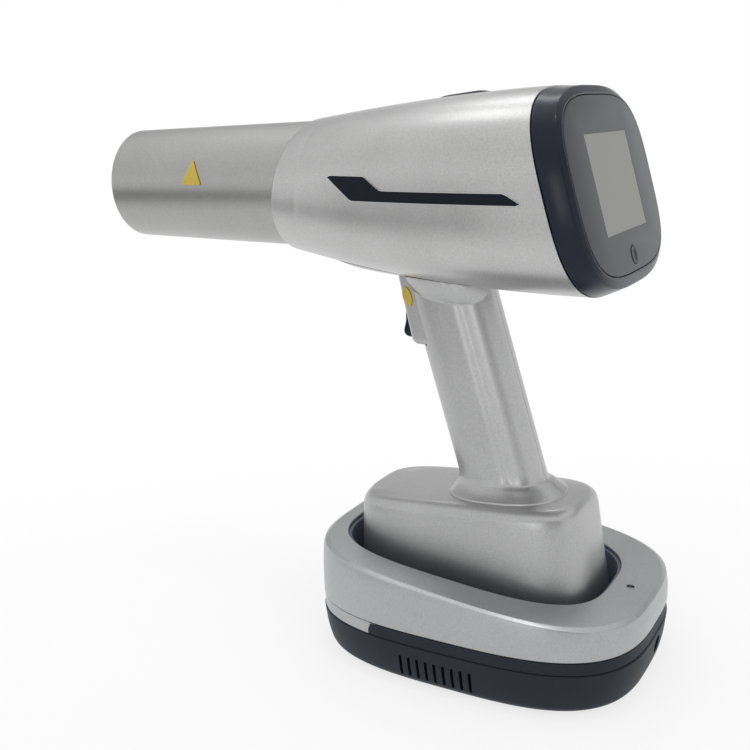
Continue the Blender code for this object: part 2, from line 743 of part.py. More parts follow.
def foot_shell():
    seam = FOOT_SEAM_Z + CLEARANCE
    crown_z = FOOT_TOP_Z + FOOT_CROWN
    flare_x, flare_y = NECK_FLARE
    round_z = mixed(FOOT_SHOULDER_Z, FOOT_TOP_Z, FOOT_ROUND_SHARE)
    ceiling = FOOT_TOP_Z - FOOT_WALL
    wall = FOOT_WALL
    bore = (-GRIP_WALL, -GRIP_WALL)
    rings = [
        foot_ring((0, 0), seam),
        foot_ring(FOOT_WAIST_INSET, FOOT_WAIST_Z, 0.4, FOOT_TOP_SHIFT / 3),
        foot_ring(FOOT_SHOULDER_INSET, FOOT_SHOULDER_Z, 0.9, FOOT_TOP_SHIFT),
        foot_ring(both(FOOT_SHOULDER_INSET, FOOT_SHOULDER_ROUND), round_z, 1, FOOT_TOP_SHIFT),
        foot_ring(FOOT_TOP_INSET, FOOT_TOP_Z, 1, FOOT_TOP_SHIFT),
        grip_ring((flare_x * 1.5, flare_y), crown_z, 1),
        grip_ring((flare_x * 0.6, flare_y * 0.45), crown_z + NECK_FLARE_HEIGHT * 0.3, 0.5),
        grip_ring((flare_x * 0.15, flare_y * 0.12), crown_z + NECK_FLARE_HEIGHT * 0.8),
        grip_ring((0, 0), NECK_TOP_Z),
        grip_ring(bore, NECK_TOP_Z),
        grip_ring(bore, crown_z),
        grip_ring((0, 0), ceiling, 0.9),
        foot_ring(both(FOOT_TOP_INSET, wall), ceiling, 1, FOOT_TOP_SHIFT),
        foot_ring(both(FOOT_SHOULDER_INSET, wall), FOOT_SHOULDER_Z - wall, 0.9, FOOT_TOP_SHIFT),
        foot_ring(both(FOOT_WAIST_INSET, wall), FOOT_WAIST_Z, 0.4, FOOT_TOP_SHIFT / 3),
        foot_ring((wall, wall), seam),
    ]
    loft("foot_shell", rings, SILVER, looped=True)


def foot_floor_z():
    return LINER_FLOOR_TOP_Z + CLEARANCE


def foot_base():
    bottom = foot_floor_z()
    inner_floor = bottom + FOOT_BASE_ROUND
    wall = FOOT_WALL
    rounded = FOOT_BASE_ROUND
    rings = [
        foot_ring((rounded, rounded), bottom),
        foot_ring((rounded / 4, rounded / 4), bottom + rounded * 0.75),
        foot_ring((0, 0), FOOT_SEAM_Z),
        foot_ring((wall, wall), FOOT_SEAM_Z),
        foot_ring((wall + rounded / 2, wall + rounded / 2), inner_floor),
    ]
    base = loft("foot_base", rings, SILVER)
    for side, (x, y) in zip(("left", "right"), pin_places()):
        roof = bottom + PAD_THICKNESS + CLEARANCE
        pocket = turned(
            f"pad_pocket_cutter_{side}",
            [(bottom - CUT_OVERRUN, PAD_RADIUS + CLEARANCE), (roof, PAD_RADIUS + CLEARANCE)],
            (x, y, 0),
            AXIS_Z_UP,
            SILVER,
            SMALL_SIDES,
        )
        boolean(base, pocket)
        turned(
            f"contact_pad_{side}",
            [(bottom, PAD_RADIUS), (bottom + PAD_THICKNESS, PAD_RADIUS)],
            (x, y, 0),
            AXIS_Z_UP,
            BRASS,
            SMALL_SIDES,
        )


def battery_pack():
    floor = foot_floor_z() + FOOT_BASE_ROUND + CLEARANCE
    half_length = CELL_LENGTH / 2 + CELL_CAP_HEIGHT + CLEARANCE
    tray_length = 2 * (half_length + TRAY_THICKNESS)
    tray = block(
        "cell_tray",
        (tray_length, 2 * TRAY_HALF_WIDTH, TRAY_THICKNESS),
        (FOOT_CENTRE_X, 0, floor + TRAY_THICKNESS / 2),
        INNER_PLASTIC,
    )
    for i, end in enumerate((-1, 1)):
        wall = block(
            f"tray_wall_tool_{i}",
            (TRAY_THICKNESS, 2 * TRAY_HALF_WIDTH, TRAY_WALL_HEIGHT),
            (FOOT_CENTRE_X + end * (half_length + TRAY_THICKNESS / 2), 0, floor + TRAY_WALL_HEIGHT / 2),
            INNER_PLASTIC,
        )
        boolean(tray, wall, "UNION")
    pitch = 2 * CELL_RADIUS + CLEARANCE
    first_z = floor + TRAY_THICKNESS + CLEARANCE + CELL_RADIUS
    number = 1
    for row in range(2):
        for side in (-1, 1):
            turned(
                f"battery_cell_{number}",
                [
                    (-CELL_LENGTH / 2, CELL_RADIUS),
                    (CELL_LENGTH / 2, CELL_RADIUS),
                    (CELL_LENGTH / 2, CELL_CAP_RADIUS),
                    (CELL_LENGTH / 2 + CELL_CAP_HEIGHT, CELL_CAP_RADIUS),
                ],
                (FOOT_CENTRE_X, side * pitch / 2, first_z + row * pitch),
                AXIS_X,
                CELL_WRAP,
                MEDIUM_SIDES,
            )
            number += 1
    block("battery_board", BATTERY_BOARD_SIZE, (FOOT_CENTRE_X, 0, battery_board_z()), BOARD)


def battery_board_z():
    """Middle of the board that lies on the upper cells."""
    floor = foot_floor_z() + FOOT_BASE_ROUND + CLEARANCE
    cells_top = floor + TRAY_THICKNESS + CLEARANCE * 3 + 4 * CELL_RADIUS
    return cells_top + BATTERY_BOARD_SIZE[2] / 2


# Grip and trigger

def body_bottom_z(x):
    """The lowest point of the body shell at this x, on the middle plane."""
    return surface_z(x, 0.0, -1)


def belly_z(x):
    return body_bottom_z(x) - BELLY_DEPTH


def half_section(half_depth, half_width, side):
    """Half of the grip's outline, from front to back, on one side of the middle plane."""
    points = superellipse(half_depth, half_width, GRIP_POWER, GRIP_HALF_SIDES, HALF_TURN, -HALF_TURN)
    return [(a, abs(b) * side) for a, b in points]


def grip_half_ring(growth, z, side, top=None):
    """A C-shaped ring of one grip half: out along its outer face and back along its inner face."""
    grow_x, grow_y = growth
    edge = side * CLEARANCE / 2
    outer = half_section(GRIP_HALF_DEPTH + grow_x, GRIP_HALF_WIDTH + grow_y, side)
    inner = half_section(GRIP_HALF_DEPTH - GRIP_WALL, GRIP_HALF_WIDTH - GRIP_WALL, side)
    ring = []
    for a, b in outer + inner[::-1]:
        y = b if abs(b) > abs(edge) else edge
        x = a + grip_x(z)
        ring.append((x, y, top(x) if top else z))
    return ring


def grip_top(x):
    return belly_z(min(max(x, BELLY_FRONT_X), BELLY_REAR_X)) - CLEARANCE


def grip_shells():
    bottom = NECK_TOP_Z + CLEARANCE
    top_z = belly_z(grip_x(belly_z(0))) - CLEARANCE
    flare_z = top_z - GRIP_FLARE_HEIGHT
    flare_x, flare_y = GRIP_FLARE
    for name, side in (("left", -1), ("right", 1)):
        rings = [
            grip_half_ring((0, 0), bottom, side),
            grip_half_ring((0, 0), mixed(bottom, flare_z, 0.5), side),
            grip_half_ring((0, 0), flare_z, side),
            grip_half_ring((flare_x * 0.3, flare_y * 0.3), mixed(flare_z, top_z, 0.45), side),
            grip_half_ring((flare_x, flare_y), top_z, side, grip_top),
        ]
        shell = loft(f"grip_shell_{name}", rings, SILVER)
        boolean(shell, mechanism(f"mechanism_cutter_{name}", CLEARANCE, CUT_OVERRUN))
        boolean(shell, housing_outline(f"housing_cutter_{name}", CLEARANCE, HOUSING_WRAP))


def front_x(z):
    """The front of the trigger housing at this height."""
    x, reference_z = HOUSING_FRONT
    return x - HOUSING_LEAN * (z - reference_z)


def leaning_block(name, ahead, depth, half_width, bottom, top, spec):
    """A block along the housing's front, from a distance ahead of the front to a depth behind it."""
    rings = []
    for z in (bottom, top):
        near, far = front_x(z) - ahead, front_x(z) + depth
        corners = ((near, -1), (far, -1), (far, 1), (near, 1))
        rings.append([(x, side * half_width, z) for x, side in corners])
    return loft(name, rings, spec)


def mechanism(name, growth, ahead):
    return leaning_block(
        name,
        ahead,
        MECHANISM_DEPTH + growth,
        MECHANISM_HALF_WIDTH + growth,
        HOUSING_BOTTOM_Z + CLEARANCE - growth,
        HOUSING_BOTTOM_Z + MECHANISM_HEIGHT + growth,
        INNER_PLASTIC,
    )


def housing_outline(name, growth, wrap):
    """The rounded block in front of the grip, from its bottom edge up to the belly."""
    half_width = HOUSING_HALF_WIDTH + growth
    corner = HOUSING_ROUND
    outline = [(wrap + growth, half_width)]
    for i in range(5):
        angle = QUARTER_TURN * i / 4
        a = corner - growth - math.sin(angle) * corner
        outline.append((a, half_width - corner + math.cos(angle) * corner))
    outline += [(a, -b) for a, b in reversed(outline)]
    low = HOUSING_BOTTOM_Z - growth
    rings = []
    bottom_round = HOUSING_ROUND / 2
    for inset, z in ((bottom_round / 2, low), (0, low + bottom_round)):
        rings.append([(a + front_x(z) + inset, b, z) for a, b in outline])
    top_z = belly_z(front_x(HOUSING_BOTTOM_Z)) - CLEARANCE
    ring = []
    for a, b in outline:
        x = a + front_x(top_z)
        ring.append((x, b, grip_top(x) + growth))
    rings.append(ring)
    return loft(name, rings, SILVER)


def trigger_pivot():
    z = POCKET_TOP_Z - TRIGGER_PIVOT_DROP
    return Vector((front_x(z) + TRIGGER_PIVOT_DEPTH, 0, z))


def trigger_housing():
    housing = housing_outline("trigger_housing", 0, HOUSING_WRAP)
    boolean(housing, mechanism("mechanism_tool", 0, -HOUSING_ROUND), "UNION")
    pocket = leaning_block(
        "pocket_cutter",
        CUT_OVERRUN,
        POCKET_DEPTH,
        POCKET_HALF_WIDTH,
        POCKET_BOTTOM_Z,
        POCKET_TOP_Z,
        SILVER,
    )
    boolean(housing, pocket)
    pivot = trigger_pivot()
    reach = MECHANISM_HALF_WIDTH - CLEARANCE
    bore_radius = TRIGGER_PIN_RADIUS + CLEARANCE
    bore = turned(
        "trigger_pin_cutter",
        [(-reach - CLEARANCE, bore_radius), (reach + CLEARANCE, bore_radius)],
        pivot,
        AXIS_Y,
        STEEL,
        SMALL_SIDES,
    )
    boolean(housing, bore)
    turned(
        "trigger_pin",
        [(-reach, TRIGGER_PIN_RADIUS), (reach, TRIGGER_PIN_RADIUS)],
        pivot,
        AXIS_Y,
        STEEL,
        SMALL_SIDES,
    )


def trigger():
    """A hooked finger lever, its face nearly flush at the top and proud at the bottom."""
    pivot = trigger_pivot()
    top = POCKET_TOP_Z - TRIGGER_TOP_GAP
    bottom = POCKET_BOTTOM_Z + TRIGGER_TOP_GAP
    height = top - bottom
    face = []
    for share, bulge in TRIGGER_FACE_SHARES:
        z = top - height * share
        face.append((front_x(z) - TRIGGER_BULGE * bulge, z))
    back = []
    for share, depth in TRIGGER_BACK_SHARES:
        z = top - height * share
        back.append((front_x(z) + TRIGGER_THICKNESS * depth, z))
    outline = face + back
    rings = []
    edge = TRIGGER_HALF_WIDTH / 6
    middle_x = sum(x for x, z in outline) / len(outline)
    middle_z = sum(z for x, z in outline) / len(outline)
    for y, shrink in ((-1, 1), (-1 + 1 / 6, 0), (1 - 1 / 6, 0), (1, 1)):
        ring = []
        for x, z in outline:
            inward = Vector((middle_x - x, 0, middle_z - z)).normalized() * edge * shrink * 0.6
            ring.append((x + inward.x, y * TRIGGER_HALF_WIDTH, z + inward.z))
        rings.append(ring)
    lever = loft("trigger", rings, BLACK)
    bore = turned(
        "trigger_bore_cutter",
        [
            (-TRIGGER_HALF_WIDTH - CUT_OVERRUN, TRIGGER_PIN_RADIUS + CLEARANCE),
            (TRIGGER_HALF_WIDTH + CUT_OVERRUN, TRIGGER_PIN_RADIUS + CLEARANCE),
        ],
        pivot,
        AXIS_Y,
        BLACK,
        SMALL_SIDES,
    )
    boolean(lever, bore)
    spring_room = block(
        "spring_cutter",
        (TRIGGER_HUB_RADIUS * 4, (SPRING_TURNS + 1) * SPRING_PITCH, TRIGGER_HUB_RADIUS * 2.2),
        pivot + Vector((TRIGGER_HUB_RADIUS, 0, 0)),
        BLACK,
    )
    boolean(lever, spring_room)


def trigger_spring():
    """A torsion spring round the pin, with one leg up against the back of the pocket."""
    pivot = trigger_pivot()
    radius = TRIGGER_PIN_RADIUS + SPRING_WIRE_RADIUS + CLEARANCE
    points = []
    turns = SPRING_TURNS * SPRING_TURN_POINTS
    for i in range(turns + 1):
        angle = 2 * math.pi * i / SPRING_TURN_POINTS
        y = (i / SPRING_TURN_POINTS - SPRING_TURNS / 2) * SPRING_PITCH
        points.append(pivot + Vector((math.cos(angle) * radius, y, math.sin(angle) * radius)))
    last = points[-1]
    tail = POCKET_DEPTH - TRIGGER_PIVOT_DEPTH - radius - CLEARANCE * 2
    points.append(last + Vector((tail / 3, 0, -TRIGGER_PIN_RADIUS)))
    points.append(last + Vector((tail * 0.8, 0, -TRIGGER_PIN_RADIUS * 1.5)))
    wire("trigger_spring", points, SPRING_WIRE_RADIUS, STEEL)


def wire(name, points, radius, spec):
    curve = bpy.data.curves.new(name, "CURVE")
    curve.dimensions = "3D"
    curve.bevel_depth = radius
    curve.bevel_resolution = 1
    curve.use_fill_caps = True
    spline = curve.splines.new("POLY")
    spline.points.add(len(points) - 1)
    for point, place_at in zip(spline.points, points):
        point.co = (*place_at, 1)
    curve.materials.append(material(spec))
    item = bpy.data.objects.new(name, curve)
    bpy.context.scene.collection.objects.link(item)
    return item


def trigger_switch():
    size_x, size_y, size_z = TRIGGER_SWITCH_SIZE
    z = POCKET_BOTTOM_Z + size_z / 2 + CLEARANCE * 2
    back = front_x(z - size_z / 2) + POCKET_DEPTH
    centre_x = back - size_x / 2 - CLEARANCE * 2 - HOUSING_LEAN * size_z
    block("trigger_switch", TRIGGER_SWITCH_SIZE, (centre_x, 0, z), INNER_PLASTIC)


# Body

def body_section(share):
    """One leaning section of the body: its middle, lean, half height, half width and roundness."""
    rim_x, rim_z = RIM_CENTRE
    rim_rise = RIM_HALF_HEIGHT * math.cos(RIM_TILT)
    rim_lean = RIM_HALF_HEIGHT * math.sin(RIM_TILT)
    top_share = eased(share, BODY_TOP_EASE)
    bottom_share = eased(share, BODY_BOTTOM_EASE)
    top_x = mixed(NOSE_TOP[0], rim_x - rim_lean, share)
    bottom_x = mixed(NOSE_BOTTOM[0], rim_x + rim_lean, share)
    top_z = mixed(NOSE_TOP[1], rim_z + rim_rise, top_share)
    bottom_z = mixed(NOSE_BOTTOM[1], rim_z - rim_rise, bottom_share)
    lean = math.atan2(top_x - bottom_x, top_z - bottom_z)
    return {
        "x": (top_x + bottom_x) / 2,
        "z": (top_z + bottom_z) / 2,
        "lean": lean,
        "half_height": math.hypot(top_x - bottom_x, top_z - bottom_z) / 2,
        "half_width": mixed(NOSE_HALF_WIDTH, RIM_HALF_WIDTH, eased(share, BODY_SIDE_EASE)),
        "power": mixed(NOSE_POWER, RIM_POWER, eased(share, BODY_SIDE_EASE)),
    }


def section_at(x, z):
    """The section whose leaning plane passes through this point, and the point's height in it."""
    low, high = -0.05, 1.05
    for _ in range(40):
        share = (low + high) / 2
        section = body_section(share)
        height = (z - section["z"]) / math.cos(section["lean"])
        if section["x"] + height * math.sin(section["lean"]) < x:
            low = share
        else:
            high = share
    return section, height


def outside(x, y, z, inset=0.0):
    """Above zero where the point is outside the body's surface, moved inwards by the inset."""
    section, height = section_at(x, z)
    across = abs(y) / (section["half_width"] - inset)
    upright = abs(height) / (section["half_height"] - inset)
    return across ** section["power"] + upright ** section["power"] - 1


def surface_y(x, z):
    """Half the width of the body at this x and z."""
    section, height = section_at(x, z)
    upright = min(abs(height) / section["half_height"], 1)
    return section["half_width"] * (1 - upright ** section["power"]) ** (1 / section["power"])


def surface_z(x, y, side):
    """Height of the body's top (side 1) or bottom (side -1) at this x and y."""
    inner, outer = AXIS_Z, AXIS_Z + side * RIM_HALF_HEIGHT * 1.4
    for _ in range(30):
        z = (inner + outer) / 2
        if outside(x, y, z) > 0:
            outer = z
        else:
            inner = z
    return inner


def body_half_ring(share, side):
    section = body_section(share)
    wall = mixed(NOSE_WALL, BODY_WALL, min(share / BODY_STATION_SHARES[1], 1))
    up = Vector((math.sin(section["lean"]), 0, math.cos(section["lean"])))
    centre = Vector((section["x"], 0, section["z"]))
    edge = CLEARANCE / 2

    def arc(inset):
        points = superellipse(
            section["half_width"] - inset,
            section["half_height"] - inset,
            section["power"],
            BODY_HALF_SIDES,
            QUARTER_TURN,
            -HALF_TURN,
        )
        reach = NOSE_SIDE_REACH * max(0, 1 - share / NOSE_REACH_SHARE) ** 2
        widest = section["half_width"] - inset
        ring = []
        for a, b in points:
            forward = AXIS_X * reach * (a / widest) ** 2
            ring.append(centre + up * b + AXIS_Y * side * max(a, edge) - forward)
        return ring

    return arc(0) + arc(wall)[::-1]


def body_shells():
    for name, side in (("left", -1), ("right", 1)):
        rings = [body_half_ring(share, side) for share in BODY_STATION_SHARES]
        shell = loft(f"body_shell_{name}", rings, SILVER)
        boolean(shell, lead_hole_cutter(f"lead_hole_cutter_{name}"))


def lead_top_x():
    """The lead goes up just ahead of the former at the rear of the tank."""
    return tank_front_x() + TANK_LENGTH - LEAD_TANK_INSET


def lead_hole_cutter(name):
    x = lead_top_x()
    low = belly_z(x) - CUT_OVERRUN
    high = body_bottom_z(x) + BODY_WALL + CUT_OVERRUN
    return turned(
        name,
        [(low, LEAD_HOLE_RADIUS), (high, LEAD_HOLE_RADIUS)],
        (x, 0, 0),
        AXIS_Z_UP,
        SILVER,
        MEDIUM_SIDES,
    )


def belly_cover():
    """The flat pad under the body that the grip bolts to, fitted to the body's round underside."""
    rings = []
    for i in range(BELLY_STATIONS + 1):
        share = i / BELLY_STATIONS
        x = mixed(BELLY_FRONT_X, BELLY_REAR_X, share)
        end = abs(2 * share - 1) ** 8
        half = BELLY_HALF_WIDTH * (1 - end / 3)
        flat_z = body_bottom_z(x) - BELLY_DEPTH * (1 - end / 2)
        upper = []
        lower = []
        for j in range(BELLY_ROWS + 1):
            y = mixed(-half, half, j / BELLY_ROWS)
            upper.append((x, y, surface_z(x, y, -1) - CLEARANCE))
            lower.append((x, y * BELLY_FLAT_SHARE, flat_z))
        rings.append(upper + lower[::-1])
    cover = loft("belly_cover", rings, SILVER)
    boolean(cover, lead_hole_cutter("lead_hole_cutter_belly"))


def side_stripes():
    """Black inlays along both sides: wide and slanted at the front, slim towards the display."""
    stations = [(*STRIPE_FRONT_X, STRIPE_WIDE_Z), (*STRIPE_STEP_X, STRIPE_WIDE_Z)]
    for i in range(STRIPE_SLIM_STATIONS):
        share = i / (STRIPE_SLIM_STATIONS - 1)
        top_x = mixed(STRIPE_SLIM_X[0], STRIPE_REAR_X[0], share)
        bottom_x = mixed(STRIPE_SLIM_X[1], STRIPE_REAR_X[1], share)
        stations.append((top_x, bottom_x, STRIPE_SLIM_Z))
    for name, side in (("left", -1), ("right", 1)):
        rings = []
        for top_x, bottom_x, top_z in stations:
            inner = []
            outer = []
            for share in (0, 1 / 2, 1):
                x = mixed(bottom_x, top_x, share)
                z = mixed(STRIPE_BOTTOM_Z, top_z, share)
                y = surface_y(x, z) + CLEARANCE
                inner.append((x, side * y, z))
                outer.append((x, side * (y + STRIPE_THICKNESS), z))
            rings.append(inner + outer[::-1])
        loft(f"side_stripe_{name}", rings, BLACK)


def top_window():
    """A slim black indicator window along the ridge of the body."""
    rings = []
    for i in range(WINDOW_STATIONS + 1):
        share = i / WINDOW_STATIONS
        x = WINDOW_FRONT_X + WINDOW_LENGTH * share
        half = WINDOW_HALF_WIDTH * (1 - abs(2 * share - 1) ** 4 / 3)
        lift = WINDOW_THICKNESS * mixed(0.5, 1, share)
        lower = []
        upper = []
        for j in range(5):
            y = mixed(-half, half, j / 4)
            z = surface_z(x, y, 1) + CLEARANCE
            lower.append((x, y, z))
            upper.append((x, y * 0.9, z + lift))
        rings.append(lower + upper[::-1])
    loft("top_window", rings, BLACK)


# Cone and generator

def cone_radius(x):
    share = (x - CONE_FRONT_X) / (CONE_REAR_X - CONE_FRONT_X)
    return mixed(CONE_FRONT_RADIUS, CONE_REAR_RADIUS, share)


def on_axis(x):
    return (x, 0, AXIS_Z)


def cone():
    front, rear = CONE_FRONT_X, CONE_REAR_X
    lip = CONE_LIP_ROUND
    profile = [
        (front + lip, CONE_FRONT_RADIUS),
        (rear, CONE_REAR_RADIUS),
        (rear, CONE_REAR_RADIUS - CONE_WALL),
        (front, CONE_FRONT_RADIUS - CONE_WALL),
        (front, CONE_FRONT_RADIUS - lip),
        (front + lip * 0.3, CONE_FRONT_RADIUS - lip * 0.3),
    ]
    turned("cone_tube", profile, on_axis(0), AXIS_X, SILVER, CONE_SIDES, looped=True)
    start = front + LINER_TUBE_SETBACK
    end = rear - CLEARANCE
    inner_start = cone_radius(start) - CONE_WALL - CLEARANCE
    inner_end = cone_radius(end) - CONE_WALL - CLEARANCE
    wall = LINER_TUBE_WALL
    profile = [(start, inner_start), (end, inner_end), (end, inner_end - wall), (start, inner_start - wall)]
    turned("cone_liner", profile, on_axis(0), AXIS_X, LEAD, CONE_SIDES, looped=True)
    back = CONE_REAR_X
    profile = [
        (back - COLLIMATOR_THICKNESS, COLLIMATOR_RADIUS),
        (back, COLLIMATOR_RADIUS),
        (back, COLLIMATOR_BORE),
        (back - COLLIMATOR_THICKNESS, COLLIMATOR_BORE),
    ]
    turned("collimator", profile, on_axis(0), AXIS_X, LEAD, ROUND_SIDES, looped=True)


def markers():
    """The two plain yellow markers: a triangle on the cone's side and an oval beside the trigger."""
    rings = []
    low, high = CONE_MARKER_ANGLES
    for i in range(CONE_MARKER_ROWS + 1):
        share = i / CONE_MARKER_ROWS
        angle = mixed(low, high, share)
        half = mixed(CONE_MARKER_WIDTH, CONE_MARKER_TIP_WIDTH, share) / 2
        ring = []
        corners = ((-half, 0), (half, 0), (half, MARKER_THICKNESS), (-half, MARKER_THICKNESS))
        for x, lift in corners:
            at = CONE_MARKER_X + x
            radius = cone_radius(at) + CLEARANCE + lift
            ring.append((at, -radius * math.cos(angle), AXIS_Z + radius * math.sin(angle)))
        rings.append(ring)
    loft("cone_marker", rings, YELLOW)
    centre_x, centre_z = TRIGGER_MARKER_CENTRE
    rings = []
    for lift in (CLEARANCE, CLEARANCE + MARKER_THICKNESS):
        points = superellipse(TRIGGER_MARKER_HALF_WIDTH, TRIGGER_MARKER_HALF_HEIGHT, 2, ROUND_SIDES)
        y = -HOUSING_HALF_WIDTH - lift
        rings.append([(centre_x + a - HOUSING_LEAN * b, y, centre_z + b) for a, b in points])
    loft("trigger_marker", rings, YELLOW)


def body_outline(x, inset):
    """The body's outline in the upright plane at x, as points round the axis."""
    points = []
    for i in range(BULKHEAD_SIDES):
        angle = 2 * math.pi * i / BULKHEAD_SIDES
        inner, outer = 0.0, RIM_HALF_WIDTH * 2
        for _ in range(30):
            reach = (inner + outer) / 2
            if outside(x, reach * math.cos(angle), AXIS_Z + reach * math.sin(angle), inset) > 0:
                outer = reach
            else:
                inner = reach
        points.append((inner * math.cos(angle), inner * math.sin(angle)))
    return points


def bulkhead(name, x, hole_radius, spec):
    """A former across the body that carries the generator. It follows the inside of the shells."""
    inset = BODY_WALL + CLEARANCE * 2
    far = x + BULKHEAD_THICKNESS
    near_outline, far_outline = body_outline(x, inset), body_outline(far, inset)

    def ring(at, outline):
        return [(at, y, AXIS_Z + z) for y, z in outline]

    circle = superellipse(hole_radius, hole_radius, 2, BULKHEAD_SIDES)
    rings = [ring(x, near_outline), ring(far, far_outline), ring(far, circle), ring(x, circle)]
    return loft(name, rings, spec, looped=True)


def tank_front_x():
    return CONE_REAR_X + CLEARANCE + BULKHEAD_THICKNESS + CLEARANCE


def generator():
    bulkhead("front_bulkhead", CONE_REAR_X + CLEARANCE, BEAM_HOLE_RADIUS, INNER_PLASTIC)
    front = tank_front_x()
    rear = front + TANK_LENGTH
    inside = TANK_RADIUS - TANK_WALL
    profile = [
        (front, TANK_RADIUS),
        (rear, TANK_RADIUS),
        (rear, inside),
        (front + TANK_WALL, inside),
        (front + TANK_WALL, TANK_WINDOW_RADIUS),
        (front, TANK_WINDOW_RADIUS),
    ]
    turned("generator_tank", profile, on_axis(0), AXIS_X, ALUMINIUM, BULKHEAD_SIDES, looped=True)
    cover = [(rear - TANK_COVER_THICKNESS, inside - CLEARANCE), (rear, inside - CLEARANCE)]
    turned("tank_cover", cover, on_axis(0), AXIS_X, INNER_PLASTIC, BULKHEAD_SIDES)
    bulkhead("rear_bulkhead", rear - BULKHEAD_THICKNESS, TANK_RADIUS + CLEARANCE * 2, INNER_PLASTIC)
    tube_x = front + TUBE_BACK
    tube_end = math.sqrt((inside - CLEARANCE * 1.5) ** 2 - TUBE_RADIUS**2)
    glass_end = tube_end - ANODE_LENGTH
    turned(
        "xray_tube",
        [(-tube_end, TUBE_RADIUS), (glass_end - CLEARANCE, TUBE_RADIUS)],
        on_axis(tube_x),
        AXIS_Y,
        TUBE_GLASS,
        MEDIUM_SIDES,
    )
    turned(
        "anode_block",
        [(glass_end, TUBE_RADIUS), (tube_end, TUBE_RADIUS)],
        on_axis(tube_x),
        AXIS_Y,
        COPPER,
        MEDIUM_SIDES,
    )
    board_x = rear + CLEARANCE * 2 + DRIVE_BOARD_SIZE[0] / 2
    block("drive_board", DRIVE_BOARD_SIZE, on_axis(board_x), BOARD)


# Bezel and display

def facing():
    return Vector((math.cos(RIM_TILT), 0, math.sin(RIM_TILT)))


def panel_up():
    return Vector((-math.sin(RIM_TILT), 0, math.cos(RIM_TILT)))


def panel_point(depth, up=0.0, across=0.0):
    rim_x, rim_z = RIM_CENTRE
    return Vector((rim_x, 0, rim_z)) + facing() * depth + panel_up() * up + AXIS_Y * across


def panel_ring(half_width, half_height, power, depth, drop=0.0):
    points = superellipse(half_width, half_height, power, BEZEL_SIDES)
    return [panel_point(depth, b + drop, a) for a, b in points]


def bezel():
    wide, tall = RIM_HALF_WIDTH, RIM_HALF_HEIGHT
    inset_wide, inset_tall = BEZEL_SIDE_INSET
    side_wide, side_tall = wide - inset_wide, tall - inset_tall
    side = BEZEL_SIDE_DEPTH
    side_drop = BEZEL_SIDE_DROP
    face = BEZEL_FACE_DEPTH
    seat = face - GLASS_THICKNESS
    crease = BEZEL_CREASE
    wall = BEZEL_WALL
    hole_wide, hole_tall = GLASS_HALF_WIDTH + GLASS_GROOVE, GLASS_HALF_HEIGHT + GLASS_GROOVE
    sight_wide, sight_tall = hole_wide - BEZEL_LEDGE, hole_tall - BEZEL_LEDGE
    drop = GLASS_DROP
    mid_wide, mid_tall = mixed(wide, side_wide, 1 / 3), mixed(tall, side_tall, 1 / 3)
    rings = [
        panel_ring(wide, tall, RIM_POWER, CLEARANCE),
        panel_ring(mid_wide, mid_tall, RIM_POWER, side / 2, side_drop / 2),
        panel_ring(side_wide, side_tall, RIM_POWER, side, side_drop),
        panel_ring(side_wide - crease, side_tall - crease, RIM_POWER, side + crease, side_drop),
        panel_ring(hole_wide + GLASS_RIM, hole_tall + GLASS_RIM, GLASS_POWER, face, drop),
        panel_ring(hole_wide, hole_tall, GLASS_POWER, face, drop),
        panel_ring(hole_wide, hole_tall, GLASS_POWER, seat, drop),
        panel_ring(sight_wide, sight_tall, GLASS_POWER, seat, drop),
        panel_ring(sight_wide, sight_tall, GLASS_POWER, seat - BEZEL_LEDGE_THICKNESS, drop),
        panel_ring(side_wide - wall, side_tall - wall, RIM_POWER, side - wall, side_drop),
        panel_ring(wide - wall, tall - wall, RIM_POWER, CLEARANCE),
    ]
    loft("bezel", rings, BLACK, looped=True)


